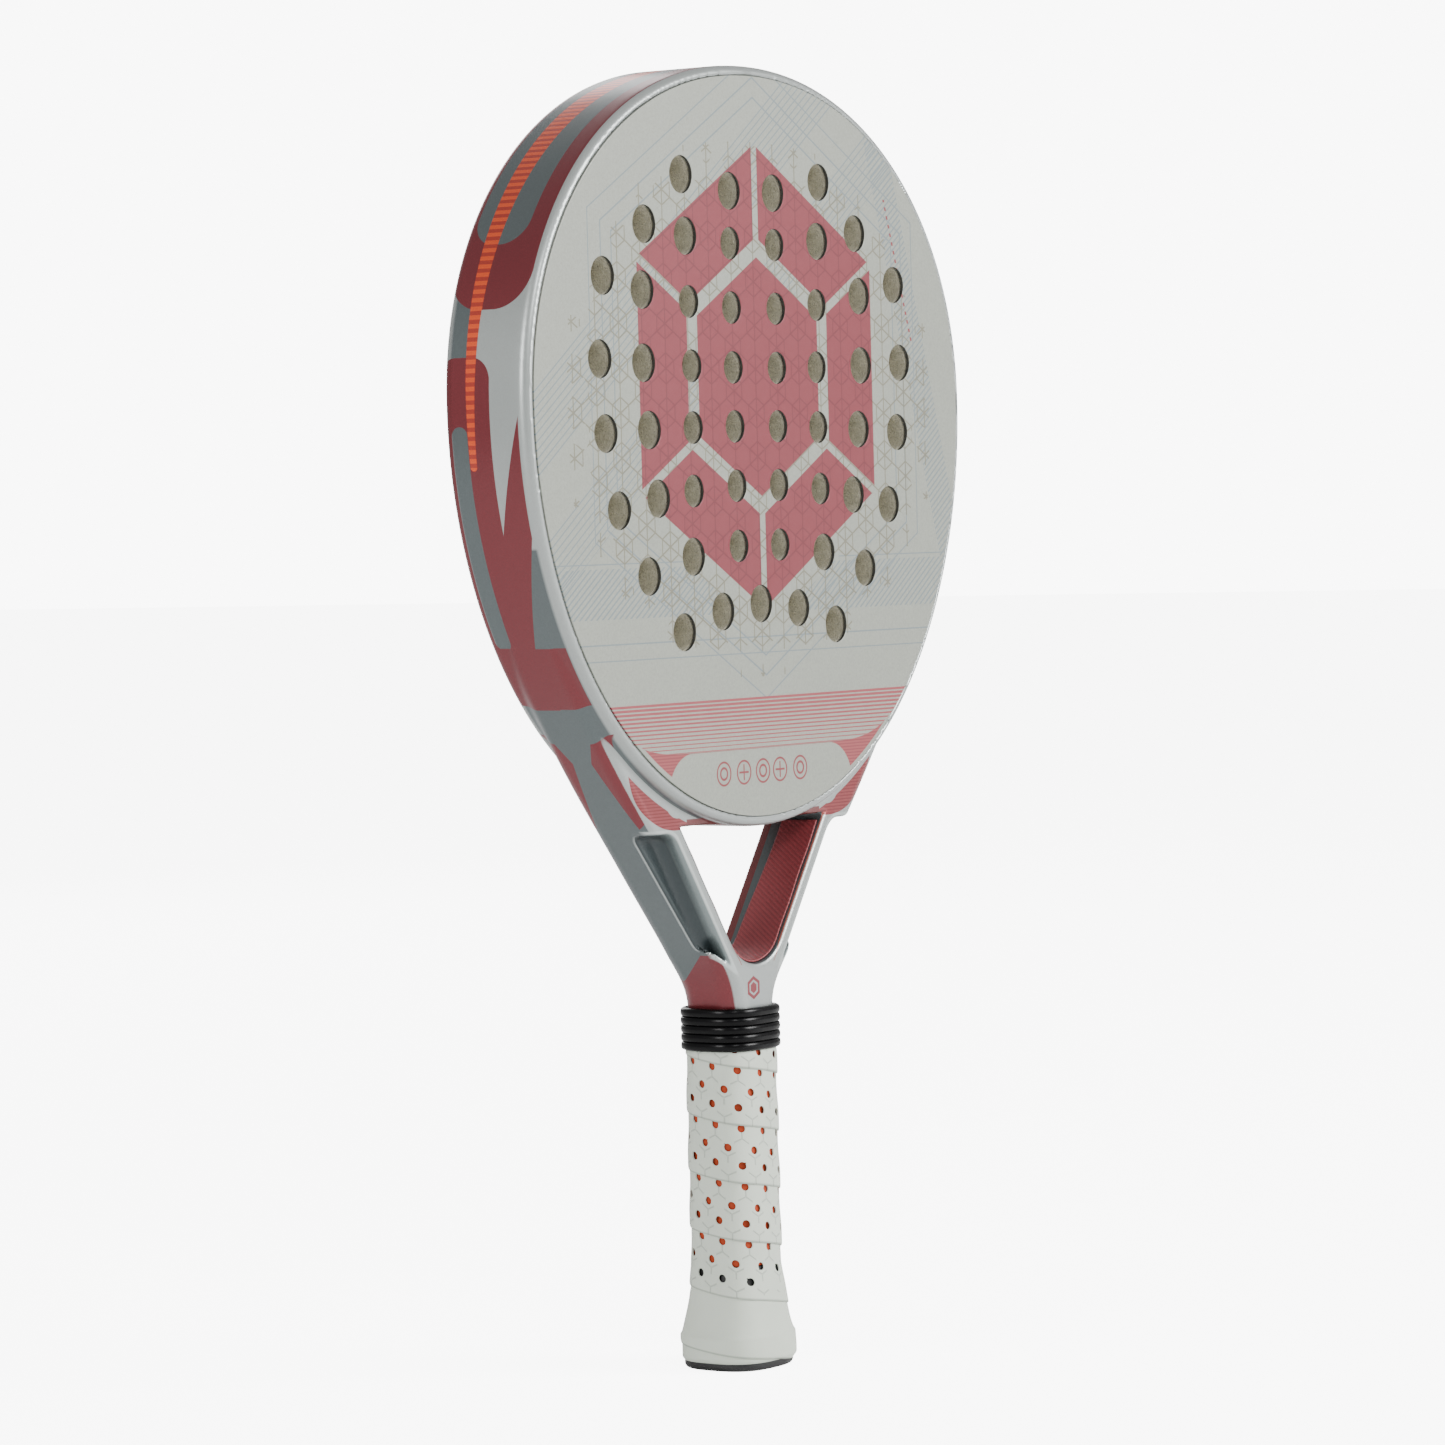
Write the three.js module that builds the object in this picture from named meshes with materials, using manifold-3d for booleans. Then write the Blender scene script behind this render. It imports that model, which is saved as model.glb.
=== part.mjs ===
// A padel racket: drilled faces over a foam core, a hollow moulded frame and a wrapped handle.
// Millimetres. Origin at the centre of the butt's end, +Z towards the head, front face towards -Y.
import * as THREE from "three";
import { mergeVertices } from "three/addons/utils/BufferGeometryUtils.js";
import Module from "manifold-3d";

const wasm = await Module();
wasm.setup();

// ---------------------------------------------------------------- driving dimensions
const LENGTH = 455; // butt to the top of the head
const HEAD_WIDTH = 260;
const THICKNESS = 36; // over both faces
const HEAD_UPPER = 0.2571 * LENGTH; // from the widest height up to the top
const HEAD_LOWER = 0.3244 * LENGTH; // from the widest height down to the bridge's underside
const UPPER_FULLNESS = 2.08; // exponent of the upper half's outline; 2 is an ellipse
const EDGE_ROUND = 3.6; // how far the rim's rounded edge reaches in over the face
const RIM_WIDTH = 13; // radial width of the head's tube
const TUBE_WALL = 2;
const SKIN = 1.2; // thickness of one face laminate
const CLEARANCE = 0.3; // gap between bonded or touching pieces

const HANDLE_LENGTH = 0.2791 * LENGTH; // butt to the top of the rubber collar
const NECK_WIDTH = 26;
const NECK_LENGTH = 9; // the neck's straight stretch, most of it inside the collar
const HEART_HEIGHT = 15.3; // from the collar up to the bottom of the throat opening
const ARM_STEP = 5.5; // how far the arms lie below the face, on each side
const ARM_WIDTH = 17; // measured straight across, halfway up the throat
const ARM_EDGE_ROUND = 5;
const ARM_JOIN_DROP = 53; // below the widest height, where the arms leave the head's outline
const WAIST_SHARE = 0.2; // the waist's place, from the head's bottom down to the collar
const WAIST_FLARE = 1.25; // the waist's outer slope, as a multiple of the throat side's slope
const UPPER_PULLS = [0.42, 0.23]; // how long the curve stays straight at each end, join and waist
const LOWER_PULLS = [0.62, 0.3]; // the same below the waist, waist and neck
const NECK_CURVE_DROP = 7; // the neck is straight from this far below the handle's top
const THROAT_TOP_HALF_WIDTH = 43;
const THROAT_RADIUS = 17.7;
const THROAT_TOP_RISE = 2; // the opening's top corners, above the bridge's lowest point
const BRIDGE_SETBACK = 5; // the bridge's two ends, inside the opening's top corners
const HOLLOW_DROP = 4; // the arms' hollow reaches this far below the handle's top
const SLOPED_WALL = 1.3; // an arm's wall measured straight across, over the wall itself

const POCKET_STRIP = 6.2; // front strip left between a pocket and the throat, measured across
const POCKET_DEPTH = 8;
const POCKET_LOW_RISE = 1; // a pocket's lowest corner, above the bottom of the throat opening
const POCKET_HIGH_DROP = 4; // a pocket's highest inner corner, below the top of the opening
const POCKET_END_SLOPE = 0.65; // rise per millimetre outwards of a pocket's two ends
const PLY = 0.5; // woven ply bonded inside the throat
const PLY_WIDTH = 18;
const PLY_EDGE = 0.6; // bare frame left in front of the ply
const PLY_TOP_GAP = 5; // from the ply's ends up to the top of the opening

const LARGE_HOLE = 13; // diameters of the drilled holes
const SMALL_HOLE = 11.2;
const HOLE_MARGIN = 27.2; // from the core's edge in to the centre of the outermost hole

const NECK_TO_PALLET = 0.7; // the pallets' flats lie this far below the neck's
const GRIP_TOP_GAP = 1.5; // from the wrapping's upper end up to the neck
const GRIP_SQUARENESS = 2.8; // exponent of the handle's section; 2 is round
const PALLET_WALL = 2.4;
const BASE_GRIP = 1.6;
const SKIVE = 0.6; // how much thinner the base grip's upper end is
const SKIVE_LENGTH = 4;
const OVERGRIP = 0.8;
const TAPE = 0.3;
const CAP_FLARE = 4.1; // how far the butt stands out beyond the cushion grip
const CAP_FLOOR = 3;
const CAP_FLARE_HEIGHT = 12;
const CAP_HEIGHT = 36;
const CAP_EDGE = 1.2; // chamfer round the cap's end
const CORD_HOLE = 8;
const SHAFT_START = 10; // height of the shaft's lower end above the butt
const SHAFT_WEB = 2; // wall between the two tube ends inside the handle
const STAPLE_HEIGHT = 30;
const STAPLE_WIDTH = 8;
const STAPLE_WIRE = 0.7;
const STAPLE_LEG = 3.4;

const COLLAR_HEIGHT = 15;
const COLLAR_WALL = 1.2; // over a ridge's crest
const COLLAR_GROOVE = 0.5;
const COLLAR_RIDGES = 5;
const RIDGE_FLANK = 0.25; // share of a ridge's height that each of its flanks takes
const COLLAR_LIP = 2.2; // height of the lip that closes in on the neck

const HEAD_SEGMENTS = 72;
const HOLE_SIDES = 8;
const CORD_HOLE_SIDES = 12;
const GRIP_SIDES = 16;
const ARM_SEGMENTS = 8;
const RIM_ROUND_STEPS = 3;
const ARM_ROUND_STEPS = 2;
const CAP_CURVE_STEPS = 4;
const WELD = 1e-4; // corners closer than this are one
const LAP = 1; // how far two stretches of one moulding run into each other

// ---------------------------------------------------------------- dimensions that follow
const halfThickness = THICKNESS / 2;
const headCentre = LENGTH - HEAD_UPPER;
const headBottom = headCentre - HEAD_LOWER;
const coreHalfDepth = halfThickness - SKIN - CLEARANCE;
const armHalfDepth = halfThickness - ARM_STEP;
const throatBottom = HANDLE_LENGTH + HEART_HEIGHT;
const throatTop = headBottom + THROAT_TOP_RISE;
const neckBottom = HANDLE_LENGTH - NECK_LENGTH;
const bridgeHalfWidth = THROAT_TOP_HALF_WIDTH - BRIDGE_SETBACK;

const palletHalf = NECK_WIDTH / 2 - NECK_TO_PALLET;
const baseInner = palletHalf + CLEARANCE;
const baseOuter = baseInner + BASE_GRIP;
const overInner = baseOuter + CLEARANCE;
const overOuter = overInner + OVERGRIP;
const collarInner = overOuter + CLEARANCE;
const collarOuter = collarInner + COLLAR_WALL;
const capHalf = baseOuter + CAP_FLARE;
const gripTop = neckBottom - GRIP_TOP_GAP;
const collarBottom = HANDLE_LENGTH - COLLAR_HEIGHT;
const collarLipBottom = HANDLE_LENGTH - COLLAR_LIP;

// The wrapped handle is as deep as the arms are, with the same layers on every side.
const layerBuild = overOuter - NECK_WIDTH / 2;
const gripDepthRatio = (armHalfDepth - NECK_TO_PALLET + layerBuild) / overOuter;
const shaftHalf = palletHalf - PALLET_WALL - CLEARANCE;
const FAR = LENGTH; // a cutter's reach past everything

// ---------------------------------------------------------------- solids
function toSolid(geometry) {
  const bare = geometry.clone();
  bare.deleteAttribute("normal");
  bare.deleteAttribute("uv");
  const welded = mergeVertices(bare, WELD);
  const mesh = new wasm.Mesh({
    numProp: 3,
    vertProperties: new Float32Array(welded.attributes.position.array),
    triVerts: new Uint32Array(welded.index.array),
  });
  return new wasm.Manifold(mesh);
}

function toGeometry(solid) {
  const mesh = solid.getMesh();
  const geometry = new THREE.BufferGeometry();
  geometry.setAttribute("position", new THREE.BufferAttribute(mesh.vertProperties, 3));
  geometry.setIndex(new THREE.BufferAttribute(mesh.triVerts, 1));
  geometry.computeVertexNormals();
  return geometry;
}

// A block between two opposite corners.
function block(low, high) {
  const size = high.map((value, i) => value - low[i]);
  const middle = high.map((value, i) => (value + low[i]) / 2);
  return toSolid(new THREE.BoxGeometry(...size).translate(...middle));
}

// An outline of [x, z] points, given thickness from yLow to yHigh, with its edges rounded.
function plate(points, yLow, yHigh, round = 0, steps = ARM_ROUND_STEPS) {
  const shape = new THREE.Shape(points.map(([x, z]) => new THREE.Vector2(x, z)));
  const geometry = new THREE.ExtrudeGeometry(shape, {
    depth: yHigh - yLow - 2 * round,
    bevelEnabled: round > 0,
    bevelThickness: round,
    bevelSize: round,
    bevelOffset: -round,
    bevelSegments: steps,
  });
  geometry.translate(0, 0, round).rotateX(Math.PI / 2).translate(0, yHigh, 0);
  return toSolid(geometry);
}

// A turned profile of [half width, z] points, squared off and drawn in to the handle's depth.
function sleeve(profile) {
  const points = profile.map(([half, z]) => new THREE.Vector2(half, z));
  const geometry = new THREE.LatheGeometry(points, GRIP_SIDES).rotateX(Math.PI / 2);
  const position = geometry.attributes.position;
  for (let i = 0; i < position.count; i += 1) {
    const x = position.getX(i);
    const y = position.getY(i);
    const angle = Math.atan2(y, x);
    const acrossPart = Math.abs(Math.cos(angle)) ** GRIP_SQUARENESS;
    const depthPart = Math.abs(Math.sin(angle)) ** GRIP_SQUARENESS;
    const stretch = (acrossPart + depthPart) ** (-1 / GRIP_SQUARENESS);
    position.setXY(i, x * stretch, y * stretch * gripDepthRatio);
  }
  return toSolid(geometry);
}

function rod(half, zLow, zHigh) {
  return sleeve([[0, zLow], [half, zLow], [half, zHigh], [0, zHigh]]);
}

// A solid and its copy on the other side of the racket's middle plane.
function bothSides(build) {
  return build(-1).add(build(1));
}

// ---------------------------------------------------------------- outlines
// Point on the head's outline at an angle from the top, clockwise, moved in by inset.
function ovalPoint(angle, inset) {
  const across = Math.sin(angle);
  const up = Math.cos(angle);
  const power = up > 0 ? 2 / UPPER_FULLNESS : 1;
  const height = (up > 0 ? HEAD_UPPER : HEAD_LOWER) - inset;
  const x = (HEAD_WIDTH / 2 - inset) * Math.sign(across) * Math.abs(across) ** power;
  const z = headCentre + height * Math.sign(up) * Math.abs(up) ** power;
  return [x, z];
}

function oval(inset) {
  const step = (2 * Math.PI) / HEAD_SEGMENTS;
  return Array.from({ length: HEAD_SEGMENTS }, (_, i) => ovalPoint(i * step, inset));
}

// The throat opening: a round bottom, straight sides tangent to it, and a flat top.
function throatSide(inset) {
  const centre = throatBottom + THROAT_RADIUS;
  const rise = throatTop - centre;
  const reach = Math.hypot(THROAT_TOP_HALF_WIDTH, rise);
  const tangentAngle = Math.atan2(rise, THROAT_TOP_HALF_WIDTH) - Math.acos(THROAT_RADIUS / reach);
  const cornerShift = (1 - Math.sin(tangentAngle)) / Math.cos(tangentAngle);
  return {
    radius: THROAT_RADIUS - inset,
    centre,
    topX: THROAT_TOP_HALF_WIDTH - inset * cornerShift,
    topZ: throatTop - inset,
    tangentAngle,
  };
}

const throatSlope = -Math.tan(throatSide(0).tangentAngle); // outwards over upwards

function throatOutline(inset) {
  const { radius, centre, topX, topZ, tangentAngle } = throatSide(inset);
  const sweep = Math.PI + 2 * tangentAngle;
  const arc = Array.from({ length: ARM_SEGMENTS + 1 }, (_, i) => {
    const angle = tangentAngle - (sweep * i) / ARM_SEGMENTS;
    return [radius * Math.cos(angle), centre + radius * Math.sin(angle)];
  });
  return [[topX, topZ], ...arc, [-topX, topZ]];
}

// Half width of the throat opening's straight side, carried on past its ends.
function throatHalfWidthAt(z) {
  const { topX, topZ } = throatSide(0);
  return topX - throatSlope * (topZ - z);
}

// Outer outline of the arms and the neck, from the head down to the neck's lower end.
function armOutline(inset) {
  const widest = HEAD_WIDTH / 2;
  const joinX = widest * Math.sqrt(1 - (ARM_JOIN_DROP / HEAD_LOWER) ** 2);
  const joinZ = headCentre - ARM_JOIN_DROP;
  const joinSlope = (widest ** 2 * ARM_JOIN_DROP) / (HEAD_LOWER ** 2 * joinX);
  const waistZ = headBottom - WAIST_SHARE * (headBottom - HANDLE_LENGTH);
  const waistX = throatHalfWidthAt(waistZ) + ARM_WIDTH;
  const waistSlope = WAIST_FLARE * throatSlope;
  const neckZ = HANDLE_LENGTH - NECK_CURVE_DROP;
  const [joinPull, abovePull] = UPPER_PULLS.map((share) => share * (joinZ - waistZ));
  const [belowPull, neckPull] = LOWER_PULLS.map((share) => share * (waistZ - neckZ));
  const upper = new THREE.CubicBezierCurve(
    new THREE.Vector2(joinX, joinZ),
    new THREE.Vector2(joinX - joinSlope * joinPull, joinZ - joinPull),
    new THREE.Vector2(waistX + waistSlope * abovePull, waistZ + abovePull),
    new THREE.Vector2(waistX, waistZ),
  );
  const lower = new THREE.CubicBezierCurve(
    new THREE.Vector2(waistX, waistZ),
    new THREE.Vector2(waistX - waistSlope * belowPull, waistZ - belowPull),
    new THREE.Vector2(NECK_WIDTH / 2, neckZ + neckPull),
    new THREE.Vector2(NECK_WIDTH / 2, neckZ),
  );
  const right = [
    ...upper.getPoints(ARM_SEGMENTS),
    ...lower.getPoints(ARM_SEGMENTS).slice(1),
    new THREE.Vector2(NECK_WIDTH / 2, neckBottom),
  ].map(({ x, y }) => [x - inset, y]);
  const left = right.map(([x, z]) => [-x, z]).reverse();
  return [...right, ...left];
}

// One arm's front pocket, open to the front and to the side; grow widens it on every side.
function pocketOutline(side, grow) {
  const wallShift = grow * Math.hypot(1, throatSlope);
  const endShift = grow * Math.hypot(1, POCKET_END_SLOPE);
  const taper = 1 - POCKET_END_SLOPE * throatSlope;
  const lowZ = throatBottom + POCKET_LOW_RISE - (POCKET_END_SLOPE * wallShift + endShift) / taper;
  const highZ = throatTop - POCKET_HIGH_DROP - (POCKET_END_SLOPE * wallShift - endShift) / taper;
  const lowX = throatHalfWidthAt(lowZ) + POCKET_STRIP - wallShift;
  const highX = throatHalfWidthAt(highZ) + POCKET_STRIP - wallShift;
  const outwards = 2 * ARM_WIDTH;
  const rise = outwards * POCKET_END_SLOPE;
  return [
    [side * lowX, lowZ],
    [side * highX, highZ],
    [side * (highX + outwards), highZ + rise],
    [side * (lowX + outwards), lowZ + rise],
  ];
}

function pocket(side, grow) {
  const floor = -armHalfDepth + POCKET_DEPTH + grow;
  const outline = pocketOutline(side, grow);
  return plate(side > 0 ? outline.reverse() : outline, -FAR, floor);
}

// ---------------------------------------------------------------- hole pattern
// Each row sits rise millimetres above the head's widest height, bows by bow * x squared, and has
// holes at these shares of the pattern's half width. The first `small` ones are the small size.
const holeRows = [
  { rise: 72.6, bow: 0.0031, small: 0, across: [0.146, 0.459] },
  { rise: 54.8, bow: 0.0014, small: 1, across: [0.148, 0.44, 0.702] },
  { rise: 32.6, bow: 0.0013, small: 2, across: [0.148, 0.427, 0.724, 0.97] },
  { rise: 12.1, bow: 0.0003, small: 2, across: [0.146, 0.418, 0.726, 1] },
  { rise: -8.2, bow: -0.0003, small: 2, across: [0.144, 0.419, 0.7, 0.974] },
  { rise: -28.6, bow: -0.0012, small: 2, across: [0.141, 0.424, 0.653, 0.902] },
  { rise: -49.3, bow: -0.0023, small: 1, across: [0.138, 0.437, 0.723] },
  { rise: -70, bow: -0.0041, small: 0, across: [0, 0.253, 0.508] },
];
const holeFieldHalfWidth = HEAD_WIDTH / 2 - RIM_WIDTH - HOLE_MARGIN;

function drillHoles(solid) {
  let drilled = solid;
  for (const { rise, bow, small, across } of holeRows) {
    across.forEach((share, place) => {
      const x = share * holeFieldHalfWidth;
      const z = headCentre + rise + bow * x * x;
      const radius = (place < small ? SMALL_HOLE : LARGE_HOLE) / 2;
      const drill = new THREE.CylinderGeometry(radius, radius, FAR, HOLE_SIDES);
      drill.rotateY(Math.PI / HOLE_SIDES);
      for (const side of share === 0 ? [1] : [-1, 1]) {
        drilled = drilled.subtract(toSolid(drill.clone().translate(side * x, 0, z)));
      }
    });
  }
  return drilled;
}

// ---------------------------------------------------------------- frame
function throat(inset) {
  return plate(throatOutline(inset), -FAR, FAR);
}

function coreWindow(inset) {
  return plate(oval(RIM_WIDTH + inset), -FAR, FAR);
}

function frameBody() {
  const rimRound = EDGE_ROUND - CLEARANCE;
  const rim = plate(oval(0), -halfThickness, halfThickness, rimRound, RIM_ROUND_STEPS);
  const arms = plate(armOutline(0), -armHalfDepth, armHalfDepth, ARM_EDGE_ROUND);
  const shaft = rod(shaftHalf, SHAFT_START, neckBottom + LAP);
  const rebate = bothSides((side) => {
    const inner = side * coreHalfDepth;
    const outer = side * FAR;
    return plate(oval(rimRound), Math.min(inner, outer), Math.max(inner, outer));
  });
  return arms
    .subtract(throat(0))
    .add(rim)
    .add(shaft)
    .subtract(coreWindow(0))
    .subtract(rebate)
    .subtract(pocket(-1, 0))
    .subtract(pocket(1, 0));
}

// The hollow inside the frame's wall; a larger wall leaves the foam's size.
function frameHollow(wall) {
  const across = SLOPED_WALL * wall;
  const ringDepth = coreHalfDepth - wall;
  const ring = plate(oval(wall), -ringDepth, ringDepth);
  const armDepth = armHalfDepth - wall;
  const arms = plate(armOutline(across), -armDepth, armDepth)
    .subtract(throat(-wall))
    .subtract(pocket(-1, wall))
    .subtract(pocket(1, wall))
    .subtract(block([-FAR, -FAR, 0], [FAR, FAR, HANDLE_LENGTH - HOLLOW_DROP + wall]));
  return ring.add(arms).subtract(coreWindow(-wall));
}

// The two tube ends side by side in the handle, open at the bottom.
function shaftChannels() {
  const web = block([-SHAFT_WEB / 2, -FAR, 0], [SHAFT_WEB / 2, FAR, FAR]);
  return rod(shaftHalf - TUBE_WALL, SHAFT_START - LAP, HANDLE_LENGTH).subtract(web);
}

// The stretch of rim between the arms, which is moulded apart and bonded in.
function bridgeZone(halfWidth) {
  return block([-halfWidth, -FAR, headBottom - LAP], [halfWidth, FAR, headBottom + 2 * RIM_WIDTH]);
}

const hollowFrame = frameBody().subtract(frameHollow(TUBE_WALL)).subtract(shaftChannels());
const frameTube = hollowFrame.subtract(bridgeZone(bridgeHalfWidth + CLEARANCE));
const bridge = hollowFrame.intersect(bridgeZone(bridgeHalfWidth));

const allFoam = frameHollow(TUBE_WALL + CLEARANCE);
const bridgeFoam = allFoam.intersect(bridgeZone(bridgeHalfWidth - CLEARANCE));
const tubeFoam = allFoam.subtract(bridgeZone(bridgeHalfWidth + 2 * CLEARANCE));

function foamHalf(side) {
  const near = (side * CLEARANCE) / 2;
  const far = side * FAR;
  return tubeFoam.intersect(block([Math.min(near, far), -FAR, 0], [Math.max(near, far), FAR, FAR]));
}

function throatPly() {
  const front = -armHalfDepth + PLY_EDGE;
  return plate(throatOutline(CLEARANCE), front, front + PLY_WIDTH)
    .subtract(throat(CLEARANCE + PLY))
    .subtract(block([-FAR, -FAR, throatTop - PLY_TOP_GAP], [FAR, FAR, FAR]));
}

// ---------------------------------------------------------------- faces and core
function core() {
  const halfDepth = coreHalfDepth - CLEARANCE;
  return drillHoles(plate(oval(RIM_WIDTH + CLEARANCE), -halfDepth, halfDepth));
}

function faceSkin(side) {
  const inner = side * (halfThickness - SKIN);
  const outer = side * halfThickness;
  return drillHoles(plate(oval(EDGE_ROUND), Math.min(inner, outer), Math.max(inner, outer)));
}

// ---------------------------------------------------------------- handle
// Staples run through the butt cap's skirt into the pallets, one on each flat of the handle.
const stapleCrown = capSkirtHalfAt(STAPLE_HEIGHT) - STAPLE_WIRE - CLEARANCE;

function capSkirtHalfAt(z) {
  const share = (z - CAP_FLARE_HEIGHT) / (CAP_HEIGHT - CAP_FLARE_HEIGHT);
  return capHalf + (baseOuter - capHalf) * Math.sqrt(share);
}

// A U of wire whose crown lies across a flat; grow thickens it into its own clearance hole.
function staple(quarter, grow) {
  const depthScale = quarter % 2 === 0 ? 1 : gripDepthRatio;
  const outer = stapleCrown * depthScale + STAPLE_WIRE + grow;
  const legInner = outer - STAPLE_WIRE - STAPLE_LEG * depthScale - 2 * grow;
  const half = STAPLE_WIRE / 2 + grow;
  const low = STAPLE_HEIGHT - half;
  const high = STAPLE_HEIGHT + half;
  const crown = block(
    [outer - STAPLE_WIRE - 2 * grow, -STAPLE_WIDTH / 2 - grow, low],
    [outer, STAPLE_WIDTH / 2 + grow, high],
  );
  const legs = bothSides((side) => {
    const middle = side * (STAPLE_WIDTH / 2 - STAPLE_WIRE / 2);
    return block([legInner, middle - half, low], [outer, middle + half, high]);
  });
  return crown.add(legs).rotate([0, 0, quarter * 90]);
}

// The way in for a staple's crown, from the skirt's outside.
function stapleSlot(quarter) {
  const half = STAPLE_WIRE / 2 + CLEARANCE;
  const depthScale = quarter % 2 === 0 ? 1 : gripDepthRatio;
  const slot = block(
    [stapleCrown * depthScale - CLEARANCE, -STAPLE_WIDTH / 2 - CLEARANCE, STAPLE_HEIGHT - half],
    [capHalf + CAP_FLARE, STAPLE_WIDTH / 2 + CLEARANCE, STAPLE_HEIGHT + half],
  );
  return slot.rotate([0, 0, quarter * 90]);
}

const quarters = [0, 1, 2, 3];

function drilledForStaples(solid) {
  return quarters.reduce((left, quarter) => left.subtract(staple(quarter, CLEARANCE)), solid);
}

function pallet(side) {
  const top = neckBottom - CLEARANCE;
  const bottom = CAP_FLOOR + CLEARANCE;
  const whole = rod(palletHalf, bottom, top);
  const bore = rod(shaftHalf + CLEARANCE, 0, HANDLE_LENGTH);
  const near = (side * CLEARANCE) / 2;
  const far = side * FAR;
  const half = block([-FAR, Math.min(near, far), 0], [FAR, Math.max(near, far), FAR]);
  return drilledForStaples(whole.subtract(bore).intersect(half));
}

// Outside of the butt cap's skirt: straight at the butt, then a hollow curve up to the grip.
function capProfile() {
  const curve = Array.from({ length: CAP_CURVE_STEPS + 1 }, (_, i) => {
    const z = CAP_FLARE_HEIGHT + ((CAP_HEIGHT - CAP_FLARE_HEIGHT) * i) / CAP_CURVE_STEPS;
    return [capSkirtHalfAt(z), z];
  });
  return [[capHalf - CAP_EDGE, 0], [capHalf, CAP_EDGE], ...curve];
}

function buttCap() {
  const inner = [[baseInner, CAP_HEIGHT], [baseInner, CAP_FLOOR], [0, CAP_FLOOR]];
  const cordHole = new THREE.CylinderGeometry(CORD_HOLE / 2, CORD_HOLE / 2, FAR, CORD_HOLE_SIDES);
  const body = sleeve([[0, 0], ...capProfile(), ...inner]);
  const drilled = drilledForStaples(body.subtract(toSolid(cordHole.rotateX(Math.PI / 2))));
  return quarters.reduce((left, quarter) => left.subtract(stapleSlot(quarter)), drilled);
}

function baseGrip() {
  const bottom = CAP_HEIGHT + CLEARANCE;
  const skiveZ = gripTop - SKIVE_LENGTH;
  return sleeve([
    [baseInner, bottom],
    [baseOuter, bottom],
    [baseOuter, skiveZ - CLEARANCE],
    [baseOuter - SKIVE, skiveZ],
    [baseOuter - SKIVE, gripTop],
    [baseInner, gripTop],
    [baseInner, bottom],
  ]);
}

function overgrip() {
  const skiveZ = gripTop - SKIVE_LENGTH;
  const end = capProfile().slice(1).map(([half, z]) => [half, Math.max(z, 2 * CAP_EDGE)]);
  const outside = end.map(([half, z]) => [half + CLEARANCE + OVERGRIP, z]);
  const inside = end.map(([half, z]) => [half + CLEARANCE, z]).reverse();
  return sleeve([
    ...outside,
    [overOuter, skiveZ],
    [overOuter - SKIVE, skiveZ + CLEARANCE],
    [overOuter - SKIVE, gripTop],
    [overInner - SKIVE, gripTop],
    [overInner - SKIVE, skiveZ + CLEARANCE],
    [overInner, skiveZ],
    ...inside,
    outside[0],
  ]);
}

function finishingTape() {
  const inner = overOuter - SKIVE + CLEARANCE;
  const bottom = gripTop - SKIVE_LENGTH + 2 * CLEARANCE;
  return sleeve([
    [inner, bottom],
    [inner + TAPE, bottom],
    [inner + TAPE, gripTop],
    [inner, gripTop],
    [inner, bottom],
  ]);
}

// A ribbed rubber sleeve over the grip's end, with a lip that closes in on the neck.
function gripCollar() {
  const pitch = COLLAR_HEIGHT / COLLAR_RIDGES;
  const ridges = Array.from({ length: COLLAR_RIDGES }, (_, i) => {
    const z = collarBottom + i * pitch;
    return [
      [collarOuter - COLLAR_GROOVE, z],
      [collarOuter, z + RIDGE_FLANK * pitch],
      [collarOuter, z + (1 - RIDGE_FLANK) * pitch],
      [collarOuter - COLLAR_GROOVE, z + pitch],
    ].slice(i === 0 ? 0 : 1);
  }).flat();
  const solid = sleeve([[0, collarBottom], ...ridges, [0, HANDLE_LENGTH]]);
  const bore = rod(collarInner, 0, collarLipBottom);
  const gap = 2 * CLEARANCE;
  const neck = plate(armOutline(-gap), -armHalfDepth - gap, armHalfDepth + gap, ARM_EDGE_ROUND);
  return solid.subtract(bore).subtract(neck);
}

// ---------------------------------------------------------------- materials
function paint(color, roughness, metalness) {
  return () => new THREE.MeshStandardMaterial({ color, roughness, metalness });
}

const silverPaint = paint(0xc9cdca, 0.4, 0.5);
const greyPaint = paint(0x8d9695, 0.4, 0.6);
const rosePaint = paint(0xa04b50, 0.55, 0.1);
const blackPlastic = paint(0x161616, 0.5, 0);
const blackRubber = paint(0x0c0c0d, 0.3, 0);
const whiteTape = paint(0xdadfd5, 0.75, 0);
const rustCushion = paint(0xb0542c, 0.8, 0);
const speckledFoam = paint(0x8e8a72, 0.95, 0);
const whiteFoam = paint(0xe6e6e0, 0.95, 0);
const castFoam = paint(0xc9b98a, 0.9, 0);
const steelWire = paint(0xb8bcc0, 0.3, 0.9);

// ---------------------------------------------------------------- assembly
const racket = new THREE.Group();

function place(name, solid, material, parent = racket) {
  const mesh = new THREE.Mesh(toGeometry(solid), material());
  mesh.name = name;
  parent.add(mesh);
}

const head = new THREE.Group();
const handle = new THREE.Group();
racket.add(head, handle);

place("frame_tube", frameTube, greyPaint, head);
place("throat_bridge", bridge, rosePaint, head);
place("tube_foam_left", foamHalf(-1), whiteFoam, head);
place("tube_foam_right", foamHalf(1), whiteFoam, head);
place("bridge_foam", bridgeFoam, whiteFoam, head);
place("throat_weave_ply", throatPly(), rosePaint, head);
place("core_foam", core(), speckledFoam, head);
place("face_skin_front", faceSkin(-1), silverPaint, head);
place("face_skin_back", faceSkin(1), silverPaint, head);

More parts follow.
